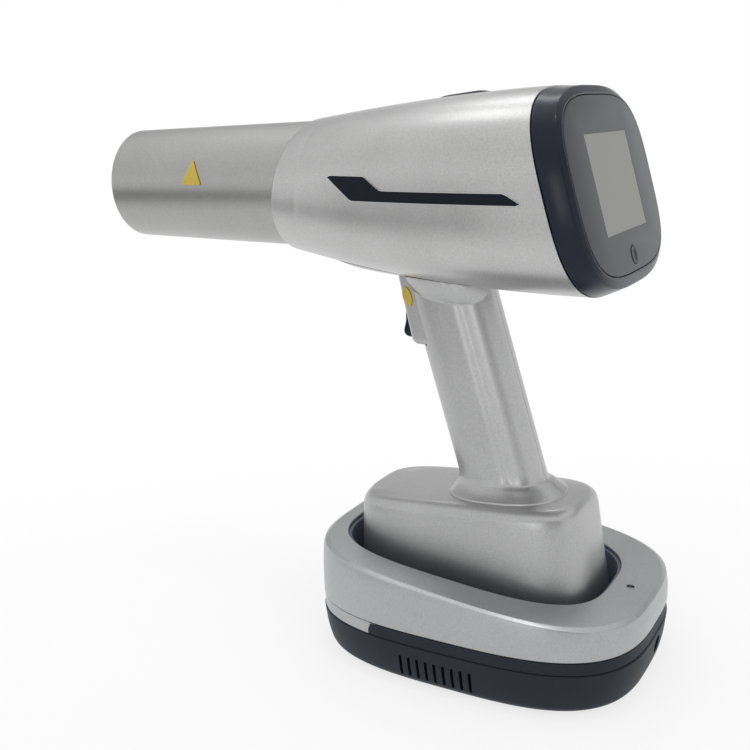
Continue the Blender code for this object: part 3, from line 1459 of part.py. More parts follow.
def display_stack():
    seat = BEZEL_FACE_DEPTH - GLASS_THICKNESS
    glass_back = seat + CLEARANCE
    glass_front = BEZEL_FACE_DEPTH + CLEARANCE
    rings = [
        panel_ring(GLASS_HALF_WIDTH, GLASS_HALF_HEIGHT, GLASS_POWER, glass_back, GLASS_DROP),
        panel_ring(GLASS_HALF_WIDTH, GLASS_HALF_HEIGHT, GLASS_POWER, glass_front, GLASS_DROP),
    ]
    glass = loft("screen_glass", rings, GLASS)
    hole_radius = BUTTON_RADIUS + CLEARANCE
    hole = turned(
        "button_hole_cutter",
        [(-GLASS_THICKNESS - CUT_OVERRUN, hole_radius), (CUT_OVERRUN, hole_radius)],
        panel_point(glass_front, -BUTTON_DROP),
        facing(),
        BLACK,
        ROUND_SIDES,
    )
    boolean(glass, hole)
    depth = glass_back - CLEARANCE - DISPLAY_SIZE[0] / 2
    block("display_module", DISPLAY_SIZE, panel_point(depth), DISPLAY, -RIM_TILT)
    board_front = glass_back - CLEARANCE * 2 - DISPLAY_SIZE[0]
    board_depth = board_front - CONTROL_BOARD_THICKNESS / 2
    board_drop = BUTTON_DROP / 7
    board_height = 2 * (BUTTON_DROP - board_drop + BUTTON_SWITCH_SIZE[2] / 2 + CLEARANCE)
    board_size = (CONTROL_BOARD_THICKNESS, CONTROL_BOARD_WIDTH, board_height)
    block("control_board", board_size, panel_point(board_depth, -board_drop), BOARD, -RIM_TILT)
    switch_depth = board_front + CLEARANCE + BUTTON_SWITCH_SIZE[0] / 2
    switch_centre = panel_point(switch_depth, -BUTTON_DROP + BUTTON_SWITCH_SIZE[2] / 6)
    block("button_switch", BUTTON_SWITCH_SIZE, switch_centre, INNER_PLASTIC, -RIM_TILT)
    cap_front = glass_front + BUTTON_PROUD
    stem_end = switch_depth + BUTTON_SWITCH_SIZE[0] / 2 + BUTTON_TRAVEL + CLEARANCE
    turned(
        "power_button",
        [
            (stem_end, BUTTON_STEM_RADIUS),
            (cap_front - BUTTON_CAP, BUTTON_STEM_RADIUS),
            (cap_front - BUTTON_CAP, BUTTON_RADIUS),
            (cap_front - BUTTON_PROUD, BUTTON_RADIUS),
            (cap_front, BUTTON_RADIUS * 0.88),
        ],
        panel_point(0, -BUTTON_DROP),
        facing(),
        BLACK,
        ROUND_SIDES,
    )


def power_lead():
    """The lead from the battery board, up the hollow grip and through the belly to the generator."""
    start = Vector((FOOT_CENTRE_X, 0, battery_board_z() + BATTERY_BOARD_SIZE[2] / 2 + CLEARANCE))
    top_x = lead_top_x()
    knee = Vector((top_x, 0, belly_z(top_x) - CLEARANCE))
    middle_z = mixed(start.z, knee.z, 1 / 2)
    handle_low = Vector((start.x, 0, middle_z))
    handle_high = Vector((top_x + GRIP_LEAN * (knee.z - middle_z), 0, middle_z))
    points = []
    for i in range(LEAD_POINTS + 1):
        t = i / LEAD_POINTS
        point = (
            start * (1 - t) ** 3
            + handle_low * 3 * t * (1 - t) ** 2
            + handle_high * 3 * t**2 * (1 - t)
            + knee * t**3
        )
        points.append(point)
    points.append(Vector((top_x, 0, AXIS_Z - TANK_RADIUS - CLEARANCE * 2)))
    wire("power_lead", points, LEAD_RADIUS, RUBBER)


def build():
    clear_scene()
    dock_top_shell()
    dock_well_liner()
    band_piece("dock_front_band", True, SILVER)
    band_piece("dock_rear_band", False, BLACK)
    dock_base_tub()
    dock_feet()
    dock_electronics()
    foot_shell()
    foot_base()
    battery_pack()
    grip_shells()
    trigger_housing()
    trigger()
    trigger_spring()
    trigger_switch()
    body_shells()
    belly_cover()
    side_stripes()
    top_window()
    cone()
    generator()
    markers()
    bezel()
    display_stack()
    power_lead()


build()
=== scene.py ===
# The looks of a handheld dental x-ray unit in its charging dock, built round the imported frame.
# Everything is in metres. The cone points along -X and the display faces +X.
import json
import math

import bmesh
import bpy
from mathutils import Matrix, Vector


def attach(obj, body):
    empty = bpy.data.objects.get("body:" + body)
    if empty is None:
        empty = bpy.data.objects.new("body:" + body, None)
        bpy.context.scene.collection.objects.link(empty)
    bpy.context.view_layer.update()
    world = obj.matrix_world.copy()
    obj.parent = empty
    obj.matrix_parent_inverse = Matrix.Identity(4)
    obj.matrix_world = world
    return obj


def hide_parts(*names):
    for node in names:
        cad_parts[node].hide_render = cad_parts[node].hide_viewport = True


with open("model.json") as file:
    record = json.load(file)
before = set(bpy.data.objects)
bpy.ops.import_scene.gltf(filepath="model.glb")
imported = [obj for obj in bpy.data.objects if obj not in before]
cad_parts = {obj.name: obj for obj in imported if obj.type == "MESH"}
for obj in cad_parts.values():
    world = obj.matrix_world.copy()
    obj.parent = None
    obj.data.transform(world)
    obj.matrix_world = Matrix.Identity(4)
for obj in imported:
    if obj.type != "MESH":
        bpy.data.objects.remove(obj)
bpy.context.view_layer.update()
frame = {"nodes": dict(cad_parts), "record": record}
print("frame loaded:", len(frame["nodes"]), "nodes")


# small helpers

def mix(a, b, t):
    return a + (b - a) * t


def ramp(low, high, value):
    t = min(max((value - low) / (high - low), 0), 1)
    return t * t * (3 - 2 * t)


def turns(count):
    return [2 * math.pi * i / count for i in range(count)]


def quarter(steps):
    # the way along a rounded edge: (1 - cosine, 1 - sine) from 0 to 90 degrees
    angles = [math.pi / 2 * k / steps for k in range(steps + 1)]
    return [(1 - math.cos(t), 1 - math.sin(t)) for t in angles]


def roundedPoint(angle, power):
    # point of a rounded square with half side 1 at this turn
    c, s = math.cos(angle), math.sin(angle)
    return math.copysign(abs(c) ** (2 / power), c), math.copysign(abs(s) ** (2 / power), s)


def oval(halfLong, halfWide, power, count, start=0.0, sweep=2 * math.pi):
    # points of a rounded oblong; a full turn leaves out the repeated last point
    steps = count if sweep == 2 * math.pi else count - 1
    points = []
    for i in range(count):
        a, b = roundedPoint(start + sweep * i / steps, power)
        points.append((a * halfLong, b * halfWide))
    return points


def soften(path, across=1, up=-2, steps=5, most=0.48):
    # path is [(values, bend)]: each corner becomes an arc that starts a bend's length before it, and
    # takes up no more than the share most of either side
    def length(a, b):
        return math.hypot(a[across] - b[across], a[up] - b[up]) or 1e-9

    made = []
    for i, (here, bend) in enumerate(path):
        if not bend or i in (0, len(path) - 1):
            made.append(here)
            continue
        before, after = path[i - 1][0], path[i + 1][0]
        inShare = min(bend / length(here, before), most)
        outShare = min(bend / length(here, after), most)
        a = [mix(h, b, inShare) for h, b in zip(here, before)]
        c = [mix(h, b, outShare) for h, b in zip(here, after)]
        for k in range(steps + 1):
            t = k / steps
            made.append([(1 - t) ** 2 * p + 2 * t * (1 - t) * q + t * t * r for p, q, r in zip(a, here, c)])
    return made


def skin(name, rings, ends="cap"):
    # a mesh through rings of equally many points; ends are "cap", "join" or "open"
    count = len(rings[0])
    verts = [tuple(p) for r in rings for p in r]
    faces = []
    last = len(rings) if ends == "join" else len(rings) - 1
    for j in range(last):
        a, b = j * count, (j + 1) % len(rings) * count
        for i in range(count):
            k = (i + 1) % count
            faces.append((a + i, a + k, b + k, b + i))
    if ends == "cap":
        faces.append(tuple(range(count - 1, -1, -1)))
        faces.append(tuple(range(len(verts) - count, len(verts))))
    return fromFaces(name, verts, faces)


def shadeMesh(mesh):
    mesh.shade_smooth()
    mesh.set_sharp_from_angle(angle=math.radians(38))


def newObject(name, data):
    made = bpy.data.objects.new(name, data)
    bpy.context.scene.collection.objects.link(made)
    return made


def fromFaces(name, verts, faces):
    mesh = bpy.data.meshes.new(name)
    mesh.from_pydata(verts, [], faces)
    shape = bmesh.new()
    shape.from_mesh(mesh)
    bmesh.ops.remove_doubles(shape, verts=shape.verts, dist=1e-6)
    bmesh.ops.recalc_face_normals(shape, faces=shape.faces)
    shape.to_mesh(mesh)
    shape.free()
    shadeMesh(mesh)
    return newObject(name, mesh)


def lathe(name, profile, start, axis, sides, ends="cap"):
    # profile lists (distance along the axis, radius)
    axis = Vector(axis).normalized()
    across = axis.orthogonal().normalized()
    other = axis.cross(across)
    rings = []
    for along, radius in profile:
        centre = Vector(start) + axis * along
        rings.append([centre + (across * math.cos(t) + other * math.sin(t)) * radius for t in turns(sides)])
    return skin(name, rings, ends=ends)


def drill(name, radius, low, high, place, axis=(0, 0, 1), sides=32):
    # a round cutting tool that reaches from low to high of its place
    return lathe(name, [(low, radius), (high, radius)], place, axis, sides)


def carve(piece, *tools):
    # cuts the tools out of the piece for good, and removes them
    for tool in tools:
        step = piece.modifiers.new("cut", "BOOLEAN")
        step.operation = "DIFFERENCE"
        step.solver = "EXACT"
        step.object = tool
    graph = bpy.context.evaluated_depsgraph_get()
    mesh = bpy.data.meshes.new_from_object(piece.evaluated_get(graph))
    piece.modifiers.clear()
    piece.data = mesh
    shadeMesh(mesh)
    for tool in tools:
        bpy.data.objects.remove(tool)
    return piece


# finishes, each a node material with its own grain

def surface(colour, rough, grain, depth, tone, metal=0.0, coat=0.0, shine=0.5):
    # grain and depth are the fine grain's, and tone is how far the colour drifts
    return {"colour": colour, "rough": rough, "grain": grain, "depth": depth, "tone": tone, "metal": metal,
            "coat": coat, "shine": shine}


metalPaint = {"rough": 0.35, "grain": 1250, "depth": 0.11, "tone": 0.14, "metal": 0.88, "coat": 0.15}
finishes = {
    "silver": surface((0.452, 0.453, 0.454), **metalPaint),
    # painted light: a lighter copy of the same silver paint, for the body and the belly pad
    "silverBodyPaintedLight": surface((0.500, 0.500, 0.498), **metalPaint),
    # painted shade: a darker copy of the same silver paint, for the cone
    "silverConePaintedShade": surface((0.405, 0.404, 0.401), **metalPaint),
    # painted shade: a darker copy of the same silver paint, for the dock's lid and front band
    "silverDockPaintedShade": surface((0.412, 0.417, 0.422), **{**metalPaint, "rough": 0.34, "tone": 0.13, "coat": 0.12}),
    "darkGloss": surface((0.010, 0.014, 0.026), 0.24, 1800, 0.03, 0.12, shine=0.2),
    "darkMatte": surface((0.014, 0.020, 0.029), 0.5, 1300, 0.12, 0.16, shine=0.2),
    "stripeDark": surface((0.011, 0.014, 0.021), 0.55, 1500, 0.06, 0.16, shine=0.08),
    # painted highlight: the pale rim round each stripe stands in for the light caught on the edge of its recess
    "paintedHighlightLip": surface((0.80, 0.80, 0.80), 0.4, 1250, 0.05, 0.08, metal=0.3),
    "panel": surface((0.060, 0.064, 0.073), 0.3, 2200, 0.01, 0.04, shine=0.13),
    "display": surface((0.211, 0.207, 0.202), 0.34, 3000, 0.01, 0.04, shine=0.3),
    "button": surface((0.009, 0.010, 0.014), 0.32, 1800, 0.02, 0.1, shine=0.22),
    "wellDark": surface((0.110, 0.128, 0.168), 0.42, 1500, 0.06, 0.12, shine=0.4),
    "yellow": surface((0.62, 0.45, 0.06), 0.42, 1600, 0.02, 0.1, coat=0.1),
    "softRubber": surface((0.022, 0.022, 0.024), 0.82, 1200, 0.18, 0.15),
    "boardGreen": surface((0.02, 0.13, 0.06), 0.38, 900, 0.05, 0.25, coat=0.3),
    "steel": surface((0.55, 0.56, 0.57), 0.28, 1400, 0.05, 0.08, metal=1.0),
    "brass": surface((0.78, 0.56, 0.24), 0.24, 1400, 0.04, 0.1, metal=1.0),
    "leadGrey": surface((0.20, 0.21, 0.23), 0.55, 500, 0.15, 0.22, metal=0.8),
    "turnedAluminium": surface((0.66, 0.67, 0.69), 0.34, 1100, 0.08, 0.08, metal=1.0),
    "copper": surface((0.68, 0.32, 0.19), 0.32, 900, 0.08, 0.14, metal=1.0),
    "tubeGlass": surface((0.66, 0.74, 0.76), 0.08, 300, 0.01, 0.05),
    "cellWrap": surface((0.04, 0.18, 0.38), 0.34, 700, 0.05, 0.1, coat=0.3),
    "innerGrey": surface((0.10, 0.10, 0.11), 0.55, 1300, 0.1, 0.14),
    "smokedPipe": surface((0.100, 0.105, 0.110), 0.16, 1300, 0.02, 0.1),
}
fineGrain = {"coatRough": 0.18, "roughDrift": 0.12, "driftSize": 22, "driftShare": 0.35, "tonePlaces": (0.3, 0.7),
             "bumpHeight": 0.0002}


def fill(tree, socket, value):
    if isinstance(value, bpy.types.NodeSocket):
        tree.links.new(value, socket)
    else:
        socket.default_value = value


def addNode(tree, kind, values=None, **settings):
    # a shader node with its settings; each of the values is put into an input, or linked to it
    made = tree.nodes.new("ShaderNode" + kind)
    for name, setting in settings.items():
        setattr(made, name, setting)
    for name, value in (values or {}).items():
        fill(tree, made.inputs[name], value)
    return made


def finish(name):
    # a shader with fine grain in bump and roughness, and a slow drift of tone
    made = bpy.data.materials.get(name)
    if made:
        return made
    look = {**fineGrain, **finishes[name]}
    made = bpy.data.materials.new(name)
    made.use_nodes = True
    tree = made.node_tree
    where = addNode(tree, "TexCoord").outputs["Object"]
    fine = addNode(tree, "TexNoise", {"Vector": where, "Scale": look["grain"], "Detail": 3}).outputs["Fac"]
    slow = addNode(tree, "TexNoise", {"Vector": where, "Scale": look["driftSize"], "Detail": 2}).outputs["Fac"]
    tone = addNode(tree, "Mix", {0: look["driftShare"], 2: fine, 3: slow}, data_type="FLOAT")
    colours = addNode(tree, "ValToRGB", {"Fac": tone.outputs[0]})
    for stop, place, sign in zip(colours.color_ramp.elements, look["tonePlaces"], (-1, 1)):
        stop.position = place
        stop.color = [min(c * (1 + sign * look["tone"]), 1) for c in look["colour"]] + [1]
    low, high = (look["rough"] * (1 + sign * look["roughDrift"]) for sign in (-1, 1))
    rough = addNode(tree, "MapRange", {"Value": slow, "To Min": low, "To Max": high})
    bump = addNode(tree, "Bump", {"Height": fine, "Strength": look["depth"], "Distance": look["bumpHeight"]})
    values = {"Base Color": colours.outputs["Color"], "Roughness": rough.outputs["Result"],
              "Normal": bump.outputs["Normal"], "Metallic": look["metal"], "Specular IOR Level": look["shine"],
              "Coat Weight": look["coat"], "Coat Roughness": look["coatRough"]}
    shader = tree.nodes["Principled BSDF"]
    for socket, value in values.items():
        fill(tree, shader.inputs[socket], value)
    return made


def dress(piece, look, body, slot, *nodes):
    # gives a made piece its finish and its body, and hides the nodes that it stands for; slot is not used
    piece.data.materials.clear()
    piece.data.materials.append(finish(look))
    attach(piece, body)
    if nodes:
        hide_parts(*nodes)
    return piece


# charging dock

dock = {"halfLong": 0.0930, "halfWide": 0.0700, "power": 3.15, "wall": 0.0024, "sides": 200, "gap": 0.0003}
lid = {"z": 0.0568, "slope": -0.097, "shift": 0.0003, "lightX": 0.0785, "lightHole": 0.0021, "lightRadius": 0.0018,
       "lightDrop": 0.0006, "lightDepth": 0.006}
band = {"top": 0.0320, "split": -0.0435, "stepRound": 0.0044, "inset": 0.0004, "edge": 0.0003, "cornerSteps": 8,
        "frontSteps": 40, "rearSteps": 70}
tub = {"bottom": 0.0015, "top": 0.0250, "waist": 0.0115, "waistInset": 0.0012, "jack": (0.086, 0.0050, 0.0165),
       "jackRadius": 0.0048, "screwsX": (-0.0560, 0.0500), "screwZ": 0.0028, "screwHead": 0.0031, "screwShank": 0.0018}
well = {"halfLong": 0.0754, "halfWide": 0.0490, "centre": -0.0065, "power": 3.2, "floorTop": 0.0210,
        "taper": 0.0036, "wall": 0.0018, "lip": 0.0018, "pinsY": (-0.006, 0.006), "pinHole": 0.0020, "padHole": 0.0041}
vents = {"count": 9, "pitch": 0.0050, "width": 0.0017, "low": 0.0060, "high": 0.0182, "centre": -0.0035,
         "corners": 24, "reach": 0.08}
rubber = {"x": 0.062, "y": 0.042, "sides": 48,
          "profile": ((0, 0.0058), (0.0001, 0.0063), (0.0006, 0.0069), (0.0012, 0.0070))}


def tiltedRing(values, count):
    # values are half length, half width, middle x, power, z at x = 0 and slope along x
    halfLong, halfWide, centre, power, z, slope = values
    return [(a + centre, b, z + slope * (a + centre)) for a, b in oval(halfLong, halfWide, power, count)]


def dockShape(inset, z, slope=0.0, shift=0.0):
    return (dock["halfLong"] - inset, dock["halfWide"] - inset, shift, dock["power"], z, slope)


def wellShape(inset, z, slope=0.0):
    return (well["halfLong"] - inset, well["halfWide"] - inset, well["centre"], well["power"], z, slope)


def makeLid():
    bottom = band["top"] + dock["gap"]
    top, slope, shift, wall = lid["z"], lid["slope"], lid["shift"], dock["wall"]
    middle = mix(bottom, top, 0.5)
    path = [
        (dockShape(0.0006, bottom), 0),
        (dockShape(0, bottom + 0.0006), 0.0004),
        (dockShape(0, middle, slope / 2), 0.008),
        (dockShape(0.0006, top - 0.0046, slope), 0.003),
        (dockShape(0.0013, top - 0.0014, slope, shift), 0.0005),
        (dockShape(0.0036, top, slope, shift), 0.0005),
        (wellShape(-0.0004, top, slope), 0),
        (wellShape(0, top - 0.0004, slope), 0.0003),
        (wellShape(0, top - well["lip"], slope), 0),
        (wellShape(-wall / 2, top - wall, slope), 0),
        (dockShape(0.0046 + wall, top - wall, slope, shift), 0),
        (dockShape(0.0010 + wall, top - 0.0050 - wall / 2, slope), 0),
        (dockShape(wall, middle, slope / 2), 0),
        (dockShape(wall, bottom), 0),
    ]
    shell = skin("dockLid", [tiltedRing(v, dock["sides"]) for v in soften(path)], ends="join")
    x, depth, radius = lid["lightX"], lid["lightDepth"], lid["lightRadius"]
    z = top + slope * x
    carve(shell, drill("lightHole", lid["lightHole"], -depth, 0.004, (x, 0, z)))
    dress(shell, "silverDockPaintedShade", "dock", "silver_paint", "dock_top_shell")
    pipe = lathe("statusLight", [(-depth, radius), (-0.0003, radius), (-0.0001, 0.0012), (0, 0)],
                 (x, 0, z - lid["lightDrop"]), (0, 0, 1), 32)
    dress(pipe, "smokedPipe", "dock", "light_pipe", "dock_light_pipe")


def makeWellLiner():
    top, slope = lid["z"] - well["lip"] - dock["gap"], lid["slope"]
    taper, wall, floor = well["taper"], well["wall"], well["floorTop"]
    path = [
        (wellShape(taper + wall, floor - 0.0022), 0),
        (wellShape(taper - wall, floor), 0.0012),
        (wellShape(-0.0003, top - dock["wall"], slope), 0),
        (wellShape(0, top, slope), 0),
        (wellShape(wall, top, slope), 0.0005),
        (wellShape(taper + wall / 2, floor + wall), 0.0012),
        (wellShape(taper + wall * 2, floor), 0.0010),
    ]
    liner = skin("dockWell", [tiltedRing(v, dock["sides"]) for v in soften(path)])
    carve(liner, *[drill("pinHole", well["pinHole"], -0.004, 0.004, (well["centre"], y, floor)) for y in well["pinsY"]])
    dress(liner, "wellDark", "dock", "black_plastic", "dock_well_liner")


def makeBand(name, front, look, slotName, node):
    # the silver band and the black one meet in a step whose upper corner is rounded
    low, high, gap = tub["top"] + dock["gap"], band["top"], dock["gap"]
    inset, wall, corner = band["inset"], dock["wall"], band["stepRound"]
    length, width, power, steps = dock["halfLong"], dock["halfWide"], dock["power"], band["cornerSteps"]
    split = math.acos(-(abs(band["split"] / length) ** (power / 2)))
    reach = corner / length * 1.05  # turn that takes the step's corner
    if front:
        way = [split - reach * (1 - (k / steps) ** 2) for k in range(steps)]
        way += [split + (math.pi - split) * k / band["frontSteps"] for k in range(band["frontSteps"] + 1)]
        way += [2 * math.pi - t for t in reversed(way[:-1])]
    else:
        way = [-split + reach * (k / steps) ** 2 for k in range(steps)]
        way += [mix(-split + reach, 0, k / band["rearSteps"]) for k in range(band["rearSteps"] + 1)]
        way += [-t for t in reversed(way[:-1])]
    rings = []
    for t in way:
        away = split - min(t, 2 * math.pi - t) if front else split - abs(t)
        fall = corner
        if away > 0:
            fall = corner - math.sqrt(max(corner ** 2 - max(corner - away / reach * corner, 0) ** 2, 0))
        bottom, top = low, high
        if front and away > 0:
            bottom = min(high - fall + gap, high - 0.0002)
        elif not front and away < reach:
            top = high - fall
        a, b = roundedPoint(t, power)
        edge, soft = min(band["edge"], (top - bottom) / 3), inset + band["edge"]
        profile = ((soft, bottom), (inset, bottom + edge), (inset, top - edge), (soft, top), (wall, top),
                   (wall, bottom))
        rings.append([(a * (length - depth), b * (width - depth), z) for depth, z in profile])
    dress(skin(name, rings), look, "dock", slotName, node)


def makeTub():
    bottom, wall, top = tub["bottom"], dock["wall"], tub["top"]
    waist, waistInset = bottom + tub["waist"], tub["waistInset"]
    path = [
        (dockShape(0.0085, bottom), 0),
        (dockShape(0.0070, bottom), 0.0006),
        (dockShape(0.0034, bottom + 0.0030), 0.0025),
        (dockShape(waistInset, waist), 0.005),
        (dockShape(0, top - 0.0005), 0),
        (dockShape(0.0005, top), 0),
        (dockShape(wall, top), 0),
        (dockShape(waistInset + wall, waist), 0),
        (dockShape(0.0034 + wall, bottom + 0.0030), 0),
        (dockShape(0.0075 + wall / 2, bottom + 0.0020), 0),
    ]
    shell = skin("dockTub", [tiltedRing(v, dock["sides"]) for v in soften(path)])
    tools = []
    middle, radius = (vents["low"] + vents["high"]) / 2, vents["width"] / 2
    straight = (vents["high"] - vents["low"]) / 2 - radius
    for i in range(vents["count"]):
        x = vents["centre"] + (i - (vents["count"] - 1) / 2) * vents["pitch"]
        slot = [(math.cos(t), math.sin(t)) for t in turns(vents["corners"])]  # with round ends
        tools.append(skin("ventSlot", [[(x + c * radius, y, middle + math.copysign(straight, s) + s * radius)
                                        for c, s in slot] for y in (-vents["reach"], vents["reach"])]))
    tools.append(drill("jackWindow", tub["jackRadius"], 0, 0.014, tub["jack"], (1, 0, 0), 48))
    head, shank = tub["screwHead"], tub["screwShank"]
    for x in tub["screwsX"]:
        tools.append(lathe("screwHole", [(-0.005, head), (0, head), (0, shank), (0.004, shank)],
                           (x, 0, tub["screwZ"]), (0, 0, 1), 32))
    carve(shell, *tools)
    dress(shell, "darkMatte", "dock", "black_plastic", "dock_base_tub")


def makeDockFeet():
    for i, (sx, sy) in enumerate([(sx, sy) for sx in (-1, 1) for sy in (-1, 1)]):
        piece = lathe(f"rubberFoot{i + 1}", rubber["profile"], (sx * rubber["x"], sy * rubber["y"], 0), (0, 0, 1),
                      rubber["sides"])
        dress(piece, "softRubber", "dock", "rubber", f"dock_foot_{i + 1}")


makeLid()
makeWellLiner()
makeBand("bandFront", True, "silverDockPaintedShade", "silver_paint", "dock_front_band")
makeBand("bandRear", False, "darkMatte", "black_plastic", "dock_rear_band")
makeTub()
makeDockFeet()
print("dock made")


# battery foot and grip

foot = {"halfLong": 0.0700, "halfWide": 0.0385, "centre": -0.0061, "power": 3.9, "seam": 0.0290, "bottom": 0.0213,
        "crown": 0.0920, "slope": 0.063, "shift": -0.0028, "wall": 0.0025, "gap": 0.0003, "sides": 176,
        "neckGap": 0.0008, "neckLip": 0.0020, "neckWall": 0.0025}
grip = {"halfDepth": 0.0243, "halfWidth": 0.0170, "power": 2.45, "lean": 0.29, "middle": (-0.0126, 0.1680),
        "sides": 232, "flat": 0.0164, "flatEase": 0.00030, "flatShare": 0.75, "crease": (0.0050, 0.0108),
        "creaseEnd": (0.0098, 0.0190), "creaseFade": 0.85, "step": 0.0011, "collar": 0.0054, "collarLow": 0.0030,
        "collarTall": 0.0078, "collarRows": (-0.30, -0.06, 0, 0.05, 0.14, 0.28, 0.45, 0.65, 0.85, 0.96, 1),
        "flareX": 0.0080, "flareY": 0.0086, "flareTall": 0.0112, "flareLip": 0.0012, "flareCrease": 0.5,
        "shaftTop": 0.1850, "shaftSteps": 18, "inside": (0.88, 0.84)}
seamHalf = 0.00012  # half of the gap between a left and a right shell


def gripX(z):
    x, z0 = grip["middle"]
    return x - grip["lean"] * (z - z0)


def footShape(insetX, insetY, z, tilt=0.0, shift=0.0):
    slope = foot["slope"] * tilt
    return (foot["halfLong"] - insetX, foot["halfWide"] - insetY, foot["centre"] + shift, foot["power"],
            z - slope * foot["centre"], slope)


def gripOutline(count, growX=0.0, growY=0.0, carving=1.0):
    # the section of the grip: flat flanks, a crease behind the middle and a softer rear
    points = []
    for a, b in oval(grip["halfDepth"], grip["halfWidth"], grip["power"], count):
        side, b = math.copysign(1, b), abs(b)
        over = grip["flatEase"] * math.log(1 + math.exp((b - grip["flat"]) / grip["flatEase"]))
        b -= carving * grip["flatShare"] * over
        behind = ramp(*grip["crease"], a) * (1 - grip["creaseFade"] * ramp(*grip["creaseEnd"], a))
        b -= carving * grip["step"] * behind
        points.append((a * (1 + growX / grip["halfDepth"]), side * max(b, 0) * (1 + growY / grip["halfWidth"])))
    return points


def gripSection(count, z, growX=0.0, growY=0.0, carving=1.0, tilt=0.0):
    # the grip's outline at this height, level or tilted like the foot's crown
    ring = []
    for a, b in gripOutline(count, growX, growY, carving):
        x = a + gripX(z)
        ring.append((x, b, z + foot["slope"] * tilt * (x - foot["centre"])))
    return ring


def makeFoot():
    crown, shift, low, wall = foot["crown"], foot["shift"], foot["seam"] + foot["gap"], foot["wall"]
    path = [
        (footShape(0.0004, 0.0004, low), 0),
        (footShape(0, 0, foot["seam"] + 0.0007), 0),
        (footShape(0.0030, 0.0025, 0.0560, 0.4, shift / 3), 0.014),
        (footShape(0.0050, 0.0048, 0.0835, 0.9, shift), 0.0045),
        (footShape(0.0062, 0.0060, 0.0880, 1, shift), 0.0022),
        (footShape(0.0092, 0.0100, 0.0910, 1, shift), 0.0022),
    ]
    rings = [tiltedRing(v, foot["sides"]) for v in soften(path)]
    edge = rings[-1]
    neck = []  # from round the flare to inside the grip
    for grow, flare, drop in ((foot["neckGap"], 1, 0.0002), (-foot["neckLip"], 1, 0.0002),
                              (-foot["neckWall"], 0, 0.0020)):
        neck.append(gripSection(foot["sides"], crown - drop, grip["flareX"] * flare + grow,
                                grip["flareY"] * flare + grow, tilt=1))
    for share in (0.25, 0.5, 0.75):
        rings.append([tuple(mix(p, q, share) for p, q in zip(a, b)) for a, b in zip(edge, neck[0])])
    rings += neck
    inside = [
        footShape(0.0092 + wall, 0.0100 + wall, 0.0885, 1, shift),
        footShape(0.0050 + wall, 0.0048 + wall, 0.0815, 0.9, shift),
        footShape(0.0030 + wall, 0.0025 + wall, 0.0560, 0.4, shift / 3),
        footShape(wall, wall, low),
    ]
    rings += [tiltedRing(v, foot["sides"]) for v in inside]
    dress(skin("footShell", rings, ends="join"), "silver", "handset", "silver_paint", "foot_shell")


def makeFootBase():
    bottom, top, wall = foot["bottom"], foot["seam"], foot["wall"]
    path = [
        (footShape(0.0040, 0.0040, bottom), 0),
        (footShape(0.0028, 0.0028, bottom), 0.0009),
        (footShape(0.0006, 0.0006, bottom + 0.0022), 0.0012),
        (footShape(0, 0, top - 0.0004), 0),
        (footShape(0.0004, 0.0004, top), 0),
        (footShape(wall, wall, top), 0),
        (footShape(wall + 0.0015, wall + 0.0015, bottom + 0.0030), 0),
    ]
    base = skin("footBase", [tiltedRing(v, foot["sides"]) for v in soften(path)])
    tools = [drill("padPocket", well["padHole"], -0.004, 0.0016, (well["centre"], y, bottom), sides=40)
             for y in well["pinsY"]]
    carve(base, *tools)
    dress(base, "silver", "handset", "silver_paint", "foot_base")


makeFoot()
makeFootBase()


# body, lofted through leaning sections from the nose to the bezel

body = {"noseTop": (-0.1000, 0.2934), "noseBottom": (-0.1140, 0.2205), "noseHalf": 0.0372, "noseReach": 0.0050,
        "nosePower": 2.16, "rim": (0.0527, 0.2558), "rimHalfWide": 0.0664, "rimHalfTall": 0.0512, "rimPower": 3.05,
        "tilt": 0.265, "topEase": 1.5, "bottomEase": 2.05, "sideEase": 2.1, "wall": 0.0022, "noseWall": 0.0012,
        "arc": 88, "stations": 96, "spacing": 1.25, "lip": 0.0009, "seat": 0.0357, "seatEnd": 0.012,
        "creaseAt": 0.092, "creaseDepth": 0.00032, "creaseWidth": 0.012, "leadX": -0.0184, "leadHole": 0.0045}
axisZ = 0.2573


def ease(t, power):
    return 1 - (1 - t) ** power


def bodySection(t):
    rimX, rimZ = body["rim"]
    rise, lean = body["rimHalfTall"] * math.cos(body["tilt"]), body["rimHalfTall"] * math.sin(body["tilt"])
    topX, bottomX = mix(body["noseTop"][0], rimX - lean, t), mix(body["noseBottom"][0], rimX + lean, t)
    topZ = mix(body["noseTop"][1], rimZ + rise, ease(t, body["topEase"]))
    bottomZ = mix(body["noseBottom"][1], rimZ - rise, ease(t, body["bottomEase"]))
    return {
        "x": (topX + bottomX) / 2,
        "z": (topZ + bottomZ) / 2,
        "lean": math.atan2(topX - bottomX, topZ - bottomZ),
        "tall": math.hypot(topX - bottomX, topZ - bottomZ) / 2,
        "wide": mix(body["noseHalf"], body["rimHalfWide"], ease(t, body["sideEase"])),
        "power": mix(body["nosePower"], body["rimPower"], ease(t, body["sideEase"])),
    }


def sectionAt(x, z):
    low, high = -0.05, 1.05
    for _ in range(34):
        t = (low + high) / 2
        s = bodySection(t)
        height = (z - s["z"]) / math.cos(s["lean"])
        if s["x"] + height * math.sin(s["lean"]) < x:
            low = t
        else:
            high = t
    return s, height


def sideY(x, z):
    # half the body's width at this x and z
    s, height = sectionAt(x, z)
    upright = min(abs(height) / s["tall"], 1)
    return s["wide"] * (1 - upright ** s["power"]) ** (1 / s["power"])


def skinZ(x, y, side):
    # height of the body's top (side 1) or bottom (side -1) at this x and y
    inner, outer = axisZ, axisZ + side * body["rimHalfTall"] * 1.4
    for _ in range(26):
        z = (inner + outer) / 2
        s, height = sectionAt(x, z)
        if (abs(y) / s["wide"]) ** s["power"] + (abs(height) / s["tall"]) ** s["power"] > 1:
            outer = z
        else:
            inner = z
    return inner


